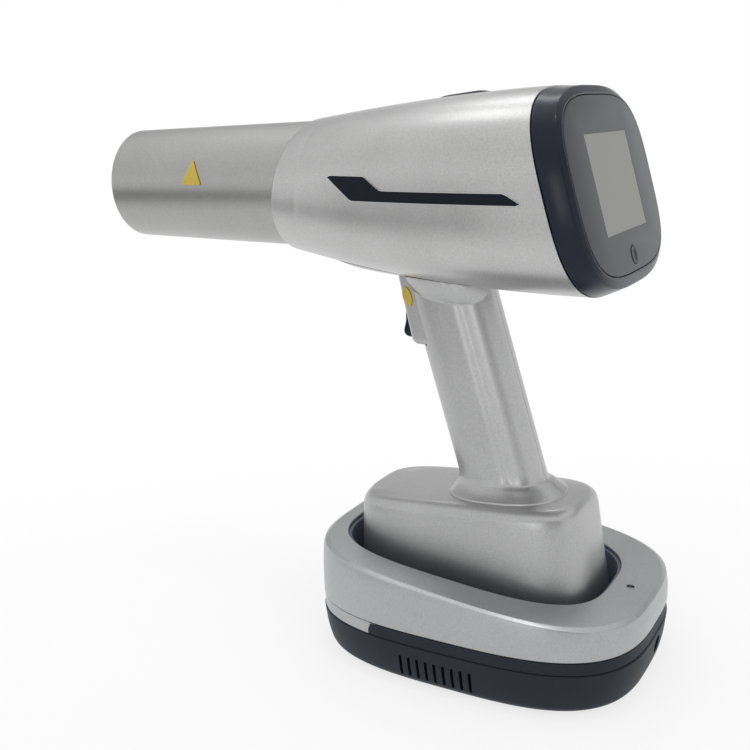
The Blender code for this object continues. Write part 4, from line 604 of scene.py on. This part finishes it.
def bodyArc(t, side, inset, seated=False):
    s = bodySection(t)
    up = Vector((math.sin(s["lean"]), 0, math.cos(s["lean"])))
    centre = Vector((s["x"], 0, s["z"]))
    reach = body["noseReach"] * max(0, 1 - t / 0.2) ** 2
    groove = body["creaseDepth"] * math.exp(-((t - body["creaseAt"]) / body["creaseWidth"]) ** 2)
    wide, tall, power = s["wide"] - inset, s["tall"] - inset, s["power"]
    if seated:  # round, to close on the cone
        wide, tall, power = body["seat"], body["seat"] / math.cos(s["lean"]), 2
    ring = []
    for a, b in oval(wide, tall, power, body["arc"], math.pi / 2, -math.pi):
        a = max(a, seamHalf)
        forward = reach * (a / wide) ** 2
        grow = 1 - groove * (a / wide) ** 0.8 / wide
        ring.append(centre + up * b + Vector((-forward, side * a * grow, 0)))
    return ring


def makeBody():
    lip, count, start = body["lip"], body["stations"], 0.0055
    shares = [(0, lip * 1.1), (0.0008, lip * 0.5), (0.0025, lip * 0.15), (start, 0)]
    shares += [(start + (1 - start) * (i / count) ** body["spacing"], 0) for i in range(1, count + 1)]
    for name, side, node in (("bodyLeft", -1, "body_shell_left"), ("bodyRight", 1, "body_shell_right")):
        rings = []
        for t, inset in shares:
            wall = mix(body["noseWall"], body["wall"], min(t / 0.06, 1))
            rings.append(bodyArc(t, side, inset) + bodyArc(t, side, wall, t < body["seatEnd"])[::-1])
        half = skin(name, rings)
        carve(half, drill("leadHole", body["leadHole"], 0.190, 0.215, (body["leadX"], 0, 0)))
        dress(half, "silverBodyPaintedLight", "handset", "silver_paint", node)


makeBody()


# belly pad under the body

belly = {"front": -0.0850, "rear": 0.0480, "halfWidth": 0.0230, "depth": 0.0011, "gap": 0.0003, "flat": 0.70,
         "endPower": 8, "stations": 40, "rows": 24}


def bellyZ(x):
    return skinZ(x, 0, -1) - belly["depth"]


def bellyUnder(x, y):
    # the pad is flat in the middle and slopes up to the body along both edges
    x = min(max(x, belly["front"]), belly["rear"])
    flat = belly["halfWidth"] * belly["flat"]
    t = min(max((abs(y) - flat) / (belly["halfWidth"] - flat), 0), 1)
    return mix(bellyZ(x), skinZ(x, belly["halfWidth"], -1) - belly["gap"], t)


def makeBelly():
    rings = []
    for i in range(belly["stations"] + 1):
        t = i / belly["stations"]
        x = mix(belly["front"], belly["rear"], t)
        end = abs(2 * t - 1) ** belly["endPower"]  # thins and narrows the pad's ends
        half = belly["halfWidth"] * (1 - end / 3)
        flatZ = skinZ(x, 0, -1) - belly["depth"] * (1 - end / 2)
        ys = [mix(-half, half, j / belly["rows"]) for j in range(belly["rows"] + 1)]
        upper = [(x, y, skinZ(x, y, -1) - belly["gap"]) for y in ys]
        lower = [(x, y * belly["flat"], flatZ) for y in ys]
        rings.append(upper + lower[::-1])
    pad = skin("bellyPad", rings)
    carve(pad, drill("leadHole", body["leadHole"], 0.180, 0.215, (body["leadX"], 0, 0)))
    dress(pad, "silverBodyPaintedLight", "handset", "silver_paint", "belly_cover")


makeBelly()
print("body made")


# grip halves, with the flared foot at the bottom and the collar under the belly

housing = {"bottom": 0.1730, "halfWidth": 0.0128, "front": (-0.0460, 0.1900), "lean": 0.225, "round": 0.0034,
           "wrap": 0.0130, "knee": 0.19, "highest": 0.22, "gap": 0.0003, "edgeTall": 0.0036, "edgeDeep": 0.0024,
           "room": 0.0005, "pocketHalf": 0.0082, "pocketDepth": 0.0115, "pocketLow": 0.1745, "pocketHigh": 0.1950}


def frontX(z):
    x, z0 = housing["front"]
    return x - housing["lean"] * (z - z0)


def housingShape(name, growth):
    # the rounded block in front of the grip, from its lower edge up to the belly
    corner, half, depth = housing["round"], housing["halfWidth"] + growth, housing["wrap"] + growth
    outline = [(depth, half)] + [(corner * up - growth, half - corner * out) for out, up in quarter(10)]
    outline += [(a, -b) for a, b in reversed(outline)]
    low = housing["bottom"] - growth
    rings = []
    for out, up in quarter(6):  # a rounded lower edge
        z, inset = low + housing["edgeTall"] * out, housing["edgeDeep"] * up
        rings.append([(a + frontX(z) + inset * (1 - max(a, 0) / depth), b * (1 - inset * 0.5 / half), z)
                      for a, b in outline])
    knee, gap = housing["knee"], housing["gap"]
    rings.append([(a + frontX(knee), b, knee) for a, b in outline])
    x = frontX(bellyZ(frontX(housing["bottom"])) - gap)
    rings.append([(a + x, b, min(bellyZ(a + x), housing["highest"]) - gap + growth) for a, b in outline])
    return skin(name, rings)


def makeGrip():
    sides, half, crown = grip["sides"], grip["sides"] // 2, foot["crown"]
    flareX, flareY, tall, lip = grip["flareX"], grip["flareY"], grip["flareTall"], grip["flareLip"]
    soft = grip["flareCrease"]
    rings = [gripSection(sides, crown - 0.0012, flareX, flareY, soft, 1)]
    for k in range(5):  # the flare's rounded lip
        angle = math.pi / 2 * k / 4 * 0.8
        z, inward = crown - lip * 0.2 + lip * math.sin(angle), lip * (1 - math.cos(angle))
        rings.append(gripSection(sides, z, flareX - inward, flareY - inward, soft, 1))
    rise = soften([((flareY, 0), 0), ((flareY * 0.12, tall * 0.58), 0.0036), ((0, tall), 0)], across=0, up=1, steps=12)
    for k, (out, lift) in enumerate(rise):  # above it the grip's foot narrows like a funnel
        share = 1 - k / (len(rise) - 1)
        out *= (1 - lip / flareY) / flareY
        rings.append(gripSection(sides, crown + lip * 0.85 + lift, flareX * out, flareY * out, 1 - soft * share,
                                 ramp(0, 1, share)))
    start, steps = rings[-1][0][2], grip["shaftSteps"]
    rings += [gripSection(sides, mix(start, grip["shaftTop"], k / steps)) for k in range(1, steps + 1)]
    for u in grip["collarRows"]:  # the collar, tall on the flanks
        ring = []
        for angle, (a, b) in zip(turns(sides), gripOutline(sides)):
            flank = abs(math.sin(angle))
            rim = grip["collarLow"] + grip["collarTall"] * flank ** 1.4 * (1 + 0.30 * math.cos(angle))
            out = grip["collar"] * flank ** 0.8 * (1 - (1 - max(u, 0)) ** 1.7)
            y = b * (1 + out / grip["halfWidth"])
            z = bellyUnder(a + gripX(0.2050), y) - 0.0002 - rim * (1 - u)
            ring.append((a + gripX(z), y, z))
        rings.append(ring)
    deep, thin = grip["inside"]
    for name, sign, node in (("gripLeft", -1, "grip_shell_left"), ("gripRight", 1, "grip_shell_right")):
        halves = []
        for ring in rings:
            indexes = range(0, half + 1) if sign > 0 else range(half, sides + 1)
            outer = [ring[i % sides] for i in indexes]
            outer = [(x, sign * max(abs(y), seamHalf), z) for x, y, z in outer]
            middle = sum(p[0] for p in ring) / sides
            inner = [(middle + (x - middle) * deep, sign * max(abs(y) * thin, seamHalf), z) for x, y, z in outer]
            halves.append(outer + inner[::-1])
        shell = skin(name, halves)
        carve(shell, housingShape("housingRoom", housing["room"]))
        dress(shell, "silver", "handset", "silver_paint", node)


def makeHousing():
    block = housingShape("triggerHousing", 0)
    rings = []
    for z in (housing["pocketLow"], housing["pocketHigh"]):
        near, far, half = frontX(z) - 0.004, frontX(z) + housing["pocketDepth"], housing["pocketHalf"]
        rings.append([(near, -half, z), (far, -half, z), (far, half, z), (near, half, z)])
    carve(block, skin("pocket", rings))
    dress(block, "silver", "handset", "silver_paint", "trigger_housing")


trigger = {"halfWidth": 0.0076, "thickness": 0.0050, "bulge": 0.0062, "gap": 0.0008, "edge": 0.0016, "edgeSteps": 4,
           "face": ((0, 0), (0.12, 0.18), (0.3, 0.38), (0.52, 0.6), (0.72, 0.86), (0.86, 1), (0.95, 0.92), (1, 0.62)),
           "back": ((1, 0.2), (0.8, 0.55), (0.4, 0.8), (0, 0.95))}


def smoothLine(points, steps):
    # an even curve through the points
    made = []
    for i in range(len(points) - 1):
        p0, p1 = points[max(i - 1, 0)], points[i]
        p2, p3 = points[i + 1], points[min(i + 2, len(points) - 1)]
        for k in range(steps):
            t = k / steps
            made.append(tuple(0.5 * (2 * b + (c - a) * t + (2 * a - 5 * b + 4 * c - d) * t * t
                                     + (3 * b - a - 3 * c + d) * t ** 3) for a, b, c, d in zip(p0, p1, p2, p3)))
    made.append(points[-1])
    return made


def makeTrigger():
    top = housing["pocketHigh"] - trigger["gap"]
    tall = top - housing["pocketLow"] - trigger["gap"]
    outline = []
    for line, steps, reach in ((trigger["face"], 5, -trigger["bulge"]), (trigger["back"], 4, trigger["thickness"])):
        for share, depth in smoothLine(line, steps):
            z = top - tall * share
            outline.append((frontX(z) + reach * depth, z))
    midX, midZ = (sum(values) / len(outline) for values in zip(*outline))
    half, edge = trigger["halfWidth"], trigger["edge"]
    flank = [(half - edge * out, edge * up) for out, up in quarter(trigger["edgeSteps"])]  # from the outside in
    rings = []
    for y, pull in [(-y, pull) for y, pull in flank] + [(0, 0)] + flank[::-1]:
        ring = []
        for x, z in outline:
            inward = Vector((midX - x, midZ - z)).normalized() * pull
            ring.append((x + inward.x, y, z + inward.y))
        rings.append(ring)
    dress(skin("triggerLever", rings), "darkGloss", "trigger", "black_plastic", "trigger")


makeGrip()
makeHousing()
makeTrigger()
print("grip made")


# beam cone

cone = {"front": -0.2330, "rear": -0.0960, "frontRadius": 0.0320, "rearRadius": 0.0349, "wall": 0.0028,
        "rim": 0.0012, "innerRim": 0.0008, "sides": 144}


def coneRadius(x):
    return mix(cone["frontRadius"], cone["rearRadius"], (x - cone["front"]) / (cone["rear"] - cone["front"]))


def makeCone():
    front, rear, wall, rim, inner = cone["front"], cone["rear"], cone["wall"], cone["rim"], cone["innerRim"]
    mouth, root = coneRadius(front), cone["rearRadius"]
    profile = [(front + rim * up, mouth - rim * out) for out, up in quarter(8)]  # the rolled rim, outside and inside
    profile += [(front + inner * out, mouth - wall + inner * up) for out, up in quarter(4)]
    profile += [(rear, root - wall), (rear, root)]
    for k in range(1, 8):
        x = mix(rear, front + rim, k / 8)
        profile.append((x, coneRadius(x)))
    barrel = lathe("coneBarrel", profile, (0, 0, axisZ), (1, 0, 0), cone["sides"], "join")
    dress(barrel, "silverConePaintedShade", "handset", "silver_paint", "cone_tube")


makeCone()
print("cone made")


# bezel, glass and display, laid out on the tilted face

face = {"power": 3.05, "glassHalfWide": 0.0602, "glassHalfTall": 0.0430, "glassPower": 3.5, "drop": -0.0004,
        "sides": 200}
display = {"halfWide": 0.032, "halfTall": 0.024, "up": 0.0004, "play": 0.00005}
key = {"up": -0.0358, "front": 0.0135, "room": 0.0048, "sides": 56,  # the profile lists (depth, radius)
       "profile": ((0.0037, 0.0022), (0.0019, 0.0022), (0.0019, 0.0044), (0.0005, 0.0045), (0.0002, 0.0043),
                   (0, 0.0039), (0.0001, 0.0034), (0.0005, 0.0020), (0.0006, 0))}
normal = Vector((math.cos(body["tilt"]), 0, math.sin(body["tilt"])))
upward = Vector((-math.sin(body["tilt"]), 0, math.cos(body["tilt"])))
rimMiddle = Vector((body["rim"][0], 0, body["rim"][1]))


def onFace(depth, up=0.0, across=0.0):
    return rimMiddle + normal * depth + upward * up + Vector((0, across, 0))


def faceRing(wide, tall, power, depth, drop):
    return [onFace(depth, b + drop, a) for a, b in oval(wide, tall, power, face["sides"])]


def makeBezel():
    wide, tall, power = body["rimHalfWide"], body["rimHalfTall"], face["power"]
    innerPower, drop = face["glassPower"], face["drop"]
    path = [
        ((wide - 0.0006, tall - 0.0006, power, 0.0003, 0), 0),
        ((wide, tall - 0.0002, power, 0.0009, -0.0001), 0.0004),
        ((wide - 0.0003, tall - 0.0013, power, 0.0050, -0.0006), 0.003),
        ((wide - 0.0018, tall - 0.0026, 3.07, 0.0113, -0.0008), 0.0006),
        ((0.0614, 0.0442, innerPower, 0.0129, drop), 0.0004),
        ((0.0606, 0.0434, innerPower, 0.0128, drop), 0.0002),
        ((0.0606, 0.0434, innerPower, 0.0107, drop), 0),
        ((0.0566, 0.0394, innerPower, 0.0107, drop), 0),
        ((0.0566, 0.0394, innerPower, 0.0083, drop), 0),
        ((wide - 0.0053, tall - 0.0059, power, 0.0065, drop), 0),
        ((wide - 0.0025, tall - 0.0025, power, 0.0003, 0), 0),
    ]
    rings = [faceRing(*values) for values in soften(path, across=0, up=3)]
    dress(skin("bezelRing", rings, ends="join"), "darkGloss", "handset", "black_plastic", "bezel")


def windowBlock(name, low, high, play=0.0):
    # a block of the display's outline between two depths of the face
    wide, tall, up = display["halfWide"] - play, display["halfTall"] - play, display["up"]
    corners = ((-wide, -tall), (wide, -tall), (wide, tall), (-wide, tall))
    return skin(name, [[onFace(depth, up + z, y) for y, z in corners] for depth in (low, high)])


def makeGlass():
    wide, tall, power, drop = face["glassHalfWide"], face["glassHalfTall"], face["glassPower"], face["drop"]
    edge = ((0, 0.0110), (0, 0.0128), (0.0002, 0.0131), (0.0006, 0.0132))  # (inset, depth)
    glass = skin("glassPanel", [faceRing(wide - inset, tall - inset, power, depth, drop) for inset, depth in edge])
    carve(glass, windowBlock("windowRoom", 0.0126, 0.0140),
          drill("buttonRoom", key["room"], -0.006, 0.004, onFace(0.0132, key["up"]), normal, 48))
    dress(glass, "panel", "handset", "screen_glass", "screen_glass")
    dress(windowBlock("displayWindow", 0.01262, 0.01315, display["play"]), "display", "handset", "display")
    button = lathe("powerKey", [(key["front"] - depth, radius) for depth, radius in key["profile"]],
                   onFace(0, key["up"]), normal, key["sides"])
    dress(button, "button", "power_button", "black_plastic", "power_button")


makeBezel()
makeGlass()
print("display made")


# stripes, roof window and the two plain markers

stripe = {"top": [((-0.0677, 0.2655), 0), ((-0.0432, 0.2655), 0.0016), ((-0.0331, 0.2588), 0.0018),
                  ((0.0355, 0.2588), 0)],
          "bottomFront": -0.0529, "bottomRear": 0.0421, "bottomZ": 0.2536, "thickness": 0.0005, "gap": 0.0002,
          "corner": 0.0007, "lip": 0.00022, "lipLong": 1.6, "lipThickness": 0.0003, "spacing": 0.002, "rows": 8}


def stripeRings(side, grow, thickness):
    # an inlay on the body's side, between an upper line with two bends and a straight lower one
    top = soften(stripe["top"], across=0, up=1, steps=6)
    line = [top[0]]
    for a, b in zip(top, top[1:]):  # fill the long stretches evenly
        count = max(1, round(math.hypot(b[0] - a[0], b[1] - a[1]) / stripe["spacing"]))
        line += [(mix(a[0], b[0], k / count), mix(a[1], b[1], k / count)) for k in range(1, count + 1)]
    total = line[-1][0] - line[0][0]
    length, corner = stripe["bottomRear"] - stripe["bottomFront"], stripe["corner"]
    rings = []
    for topX, topZ in line:
        share = (topX - line[0][0]) / total
        bottomX = stripe["bottomFront"] + length * share
        near = min(min(share, 1 - share) * length / corner, 1)
        trim = corner * (1 - math.sqrt(1 - (1 - near) ** 2))  # rounds the four corners
        shift = grow * stripe["lipLong"] * (2 * share - 1)
        inner, outer = [], []
        for k in range(stripe["rows"] + 1):
            t = k / stripe["rows"]
            x = mix(bottomX, topX, t) + shift
            z = mix(stripe["bottomZ"] + trim - grow, topZ - trim + grow, t)
            y = sideY(x, z) + stripe["gap"]
            inner.append((x, side * y, z))
            outer.append((x, side * (y + thickness), z))
        rings.append(inner + outer[::-1])
    return rings


def makeStripe(name, side, node):
    inlay = skin(f"stripe{name}", stripeRings(side, 0, stripe["thickness"]))
    dress(inlay, "stripeDark", "handset", "black_plastic", node)
    # a pale rim round the inlay, a painted highlight for the light on the recess's edge
    lip = skin(f"stripeLip{name}", stripeRings(side, stripe["lip"], stripe["lipThickness"]))
    dress(lip, "paintedHighlightLip", "handset", "silver_paint")


roof = {"front": -0.0260, "length": 0.0240, "halfWidth": 0.0075, "height": 0.0012, "gap": 0.0003, "inset": 0.94,
        "stations": 24, "rows": 12}
markers = {"gap": 0.0003, "thickness": 0.0002, "coneX": -0.1700, "turns": (0.050, 0.468), "wide": (0.0146, 0.0010),
           "corner": 0.0009, "stations": 20, "rows": 8, "ovalPlace": (-0.0438, 0.1990), "ovalWide": 0.0027,
           "ovalTall": 0.0053, "ovalSides": 56}


def makeRoofWindow():
    rings = []
    for i in range(roof["stations"] + 1):
        t = i / roof["stations"]
        x = roof["front"] + roof["length"] * t
        half = roof["halfWidth"] * (1 - abs(2 * t - 1) ** 4 / 3)
        lift = roof["height"] * mix(0.5, 1, t) * min(1, 0.35 + 6 * min(t, 1 - t))
        ys = [mix(-half, half, j / roof["rows"]) for j in range(roof["rows"] + 1)]
        lower = [(x, y, skinZ(x, y, 1) + roof["gap"]) for y in ys]
        upper = [(x, y * roof["inset"], z + lift * (1 - (abs(y) / half) ** 6 * 0.5)) for x, y, z in lower]
        rings.append(lower + upper[::-1])
    dress(skin("roofWindow", rings), "darkGloss", "handset", "black_plastic", "top_window")


def makeMarkers():
    gap, thickness = markers["gap"], markers["thickness"]
    rings = []
    for i in range(markers["stations"] + 1):  # a triangle with soft corners, laid on the cone
        t = i / markers["stations"]
        angle = mix(*markers["turns"], t)
        half = mix(*markers["wide"], t) / 2 - (markers["corner"] * (1 - i / 2) ** 2 if i < 2 else 0)
        xs = [markers["coneX"] + mix(-half, half, k / markers["rows"]) for k in range(markers["rows"] + 1)]
        ring = []
        for x, lift in [(x, gap) for x in xs] + [(x, gap + thickness) for x in reversed(xs)]:
            radius = coneRadius(x) + lift
            ring.append((x, -radius * math.cos(angle), axisZ + radius * math.sin(angle)))
        rings.append(ring)
    dress(skin("coneMarker", rings), "yellow", "handset", "yellow_marker", "cone_marker")
    x, z = markers["ovalPlace"]
    rings = []
    for lift, shrink in ((gap, 0), (gap + thickness / 2, 0), (gap + thickness, thickness)):
        y = -housing["halfWidth"] - lift
        points = oval(markers["ovalWide"] - shrink, markers["ovalTall"] - shrink, 2, markers["ovalSides"])
        rings.append([(x + a - housing["lean"] * b, y, z + b) for a, b in points])
    dress(skin("gripMarker", rings), "yellow", "handset", "yellow_marker", "trigger_marker")


makeStripe("Left", -1, "side_stripe_left")
makeStripe("Right", 1, "side_stripe_right")
makeRoofWindow()
makeMarkers()
print("trim made")


# finishes of the pieces that stay as they are

kept = {
    "silver_paint": "silver", "black_plastic": "darkMatte", "screen_glass": "panel", "display": "display",
    "rubber": "softRubber", "circuit_board": "boardGreen", "steel": "steel", "brass": "brass",
    "lead_metal": "leadGrey", "aluminium": "turnedAluminium", "copper": "copper", "tube_glass": "tubeGlass",
    "cell_wrap": "cellWrap", "inner_plastic": "innerGrey", "light_pipe": "smokedPipe", "yellow_marker": "yellow",
}
slotOf = {entry["node"]: entry["material_slot"] for entry in frame["record"]["subparts"]}
for name, piece in frame["nodes"].items():
    look = finish(kept[slotOf[name]])
    if not piece.material_slots:
        piece.data.materials.append(look)
    for place in piece.material_slots:
        place.material = look
print("inner pieces finished")


# floor, backdrop, lamps and camera

# the floor's dim level, with its centre and edge, makes a painted shade patch on the viewer's side
studio = {"floorPale": 0.92, "floorPaintedShade": 0.25, "floorRadius": 6.0, "liftNear": 0.76, "wallRadius": 5.0,
          "paintedShadeCentre": (-1.15, -1.05, 0), "paintedShadeEdge": (0.62, 1.20), "whiteCentre": (0.42, -0.72, 0),
          "whiteEdge": (0.92, 1.22), "wallBottom": -0.01, "wallTop": 1.5, "skyTurn": (-0.1, 0.5),
          "skyFront": (0.05, 0.95, 0.80, 1.0), "skyBack": (0.35, 0.80, 0.46, 1.0),  # heights, then levels
          "viewerWay": (0.57, -0.80, 0.19), "viewerEdge": (0.86, 0.98), "viewerDim": 0.45}
camera = {"place": (0.2111, -0.4872, 0.2962), "yaw": 0.528, "pitch": 0.255, "roll": -0.034, "lens": 48.61}


def rangeNode(tree, source, fromMin, fromMax, toMin, toMax):
    # a soft step of the source
    values = {"Value": source, "From Min": fromMin, "From Max": fromMax, "To Min": toMin, "To Max": toMax}
    return addNode(tree, "MapRange", values, interpolation_type="SMOOTHSTEP").outputs["Result"]


def mathNode(tree, operation, a, b):
    return addNode(tree, "Math", {0: a, 1: b}, operation=operation).outputs[0]


def vectorNode(tree, operation, a, b=(0, 0, 0), output="Value"):
    return addNode(tree, "VectorMath", {0: a, 1: b}, operation=operation).outputs[output]


def viewerSide(tree, place):
    # the room is dimmer behind the viewer, which shades the rounded rear corners; the sky gets this as light, the
    # backdrop as painted shade
    unit = vectorNode(tree, "NORMALIZE", place, output="Vector")
    toward = vectorNode(tree, "DOT_PRODUCT", unit, studio["viewerWay"])
    return rangeNode(tree, toward, *studio["viewerEdge"], 1, studio["viewerDim"])


def backgroundMaterial(name, asFloor):
    # white to the camera and in reflections, with painted shade on the viewer's side of the floor and the backdrop;
    # close by, the floor keeps the shadow
    made = bpy.data.materials.new(name)
    made.use_nodes = True
    tree = made.node_tree
    tree.nodes.clear()
    rays = addNode(tree, "LightPath").outputs
    white = addNode(tree, "Emission")
    plain = addNode(tree, "BsdfDiffuse")
    where = addNode(tree, "TexCoord").outputs["Object"]
    seen = rays["Is Camera Ray"]
    for output in ("Is Glossy Ray", "Is Transmission Ray"):
        seen = mathNode(tree, "MAXIMUM", seen, rays[output])
    if asFloor:
        # painted shade: round a point off to the viewer's side the floor is painted dark grey and left without the
        # white
        fromPaintedShade, fromWhite = [vectorNode(tree, "LENGTH", vectorNode(tree, "SUBTRACT", where, studio[centre], "Vector"))
                              for centre in ("paintedShadeCentre", "whiteCentre")]  # both on the viewer's side of the part
        shade = rangeNode(tree, fromPaintedShade, *studio["paintedShadeEdge"], studio["floorPaintedShade"], studio["floorPale"])
        fill(tree, plain.inputs["Color"], shade)
        seen = mathNode(tree, "MULTIPLY", seen, rangeNode(tree, fromWhite, *studio["whiteEdge"], studio["liftNear"], 1))
        seen = mathNode(tree, "MULTIPLY", seen, rangeNode(tree, fromPaintedShade, *studio["paintedShadeEdge"], 0, 1))
    else:
        # painted shade: the backdrop's white is darker on the viewer's side, so the rounded rear corners reflect it
        # darker
        fill(tree, white.inputs["Color"], viewerSide(tree, where))
    blend = addNode(tree, "MixShader", {"Fac": seen, 1: plain.outputs["BSDF"], 2: white.outputs["Emission"]})
    addNode(tree, "OutputMaterial", {"Surface": blend.outputs["Shader"]})
    return made


def circle(radius, count, z):
    return [(radius * math.cos(t), radius * math.sin(t), z) for t in turns(count)]


def makeStage():
    ground = fromFaces("floor", circle(studio["floorRadius"], 64, 0), [tuple(range(64))])
    ground.data.materials.append(backgroundMaterial("floorWhite", True))
    heights = (studio["wallBottom"], studio["wallTop"])
    wall = skin("backdrop", [circle(studio["wallRadius"], 96, z) for z in heights], ends="open")
    wall.data.materials.append(backgroundMaterial("wallWhite", False))


lamps = {
    "softboxTop": {"place": (-0.42, 0.08, 1.15), "aim": (-0.02, 0, 0.20), "size": (0.34, 0.28), "power": 0.60},
    "ceilingLight": {"place": (0.04, -0.14, 1.60), "aim": (0, 0, 0.25), "size": (0.30, 0.14), "power": 1.90},
    "windowFront": {"place": (0.14, -1.38, 0.30), "aim": (0, 0, 0.12), "size": (0.14, 0.28), "power": 0.55},
    "windowBack": {"place": (-0.45, 0.78, 1.30), "aim": (0, 0, 0.10), "size": (0.40, 0.24), "power": 0.90},
}


def makeLight():
    # the sky is brightest overhead and dimmer behind the part, which gives the paint its bands
    world = bpy.data.worlds.new("studio")
    bpy.context.scene.world = world
    world.use_nodes = True
    tree = world.node_tree
    way = addNode(tree, "TexCoord").outputs["Generated"]
    parts = addNode(tree, "SeparateXYZ", {0: way}).outputs
    front = rangeNode(tree, parts["Z"], *studio["skyFront"])
    back = rangeNode(tree, parts["Z"], *studio["skyBack"])
    behind = rangeNode(tree, parts["Y"], *studio["skyTurn"], 0, 1)
    level = addNode(tree, "Mix", {0: behind, 2: front, 3: back}, data_type="FLOAT").outputs[0]
    fill(tree, tree.nodes["Background"].inputs["Color"], mathNode(tree, "MULTIPLY", level, viewerSide(tree, way)))
    for name, lamp in lamps.items():
        light = bpy.data.lights.new(name, "AREA")
        light.shape = "RECTANGLE"
        light.size, light.size_y = lamp["size"]
        light.energy = lamp["power"]
        holder = newObject(name, light)
        holder.visible_camera = False
        holder.location = lamp["place"]
        holder.rotation_mode = "QUATERNION"
        holder.rotation_quaternion = (Vector(lamp["aim"]) - Vector(lamp["place"])).to_track_quat("-Z", "Y")


def makeCamera():
    turn = (Matrix.Rotation(camera["yaw"], 4, "Z") @ Matrix.Rotation(math.pi / 2 - camera["pitch"], 4, "X")
            @ Matrix.Rotation(camera["roll"], 4, "Z"))
    eye = newObject("camera", bpy.data.cameras.new("camera"))
    eye.matrix_world = Matrix.Translation(camera["place"]) @ turn
    eye.data.sensor_width = 36
    eye.data.lens = camera["lens"]
    eye.data.clip_start, eye.data.clip_end = 0.01, 30
    bpy.context.scene.camera = eye
    bpy.context.scene.view_settings.view_transform = "Standard"


makeStage()
makeLight()
makeCamera()
print("studio made")
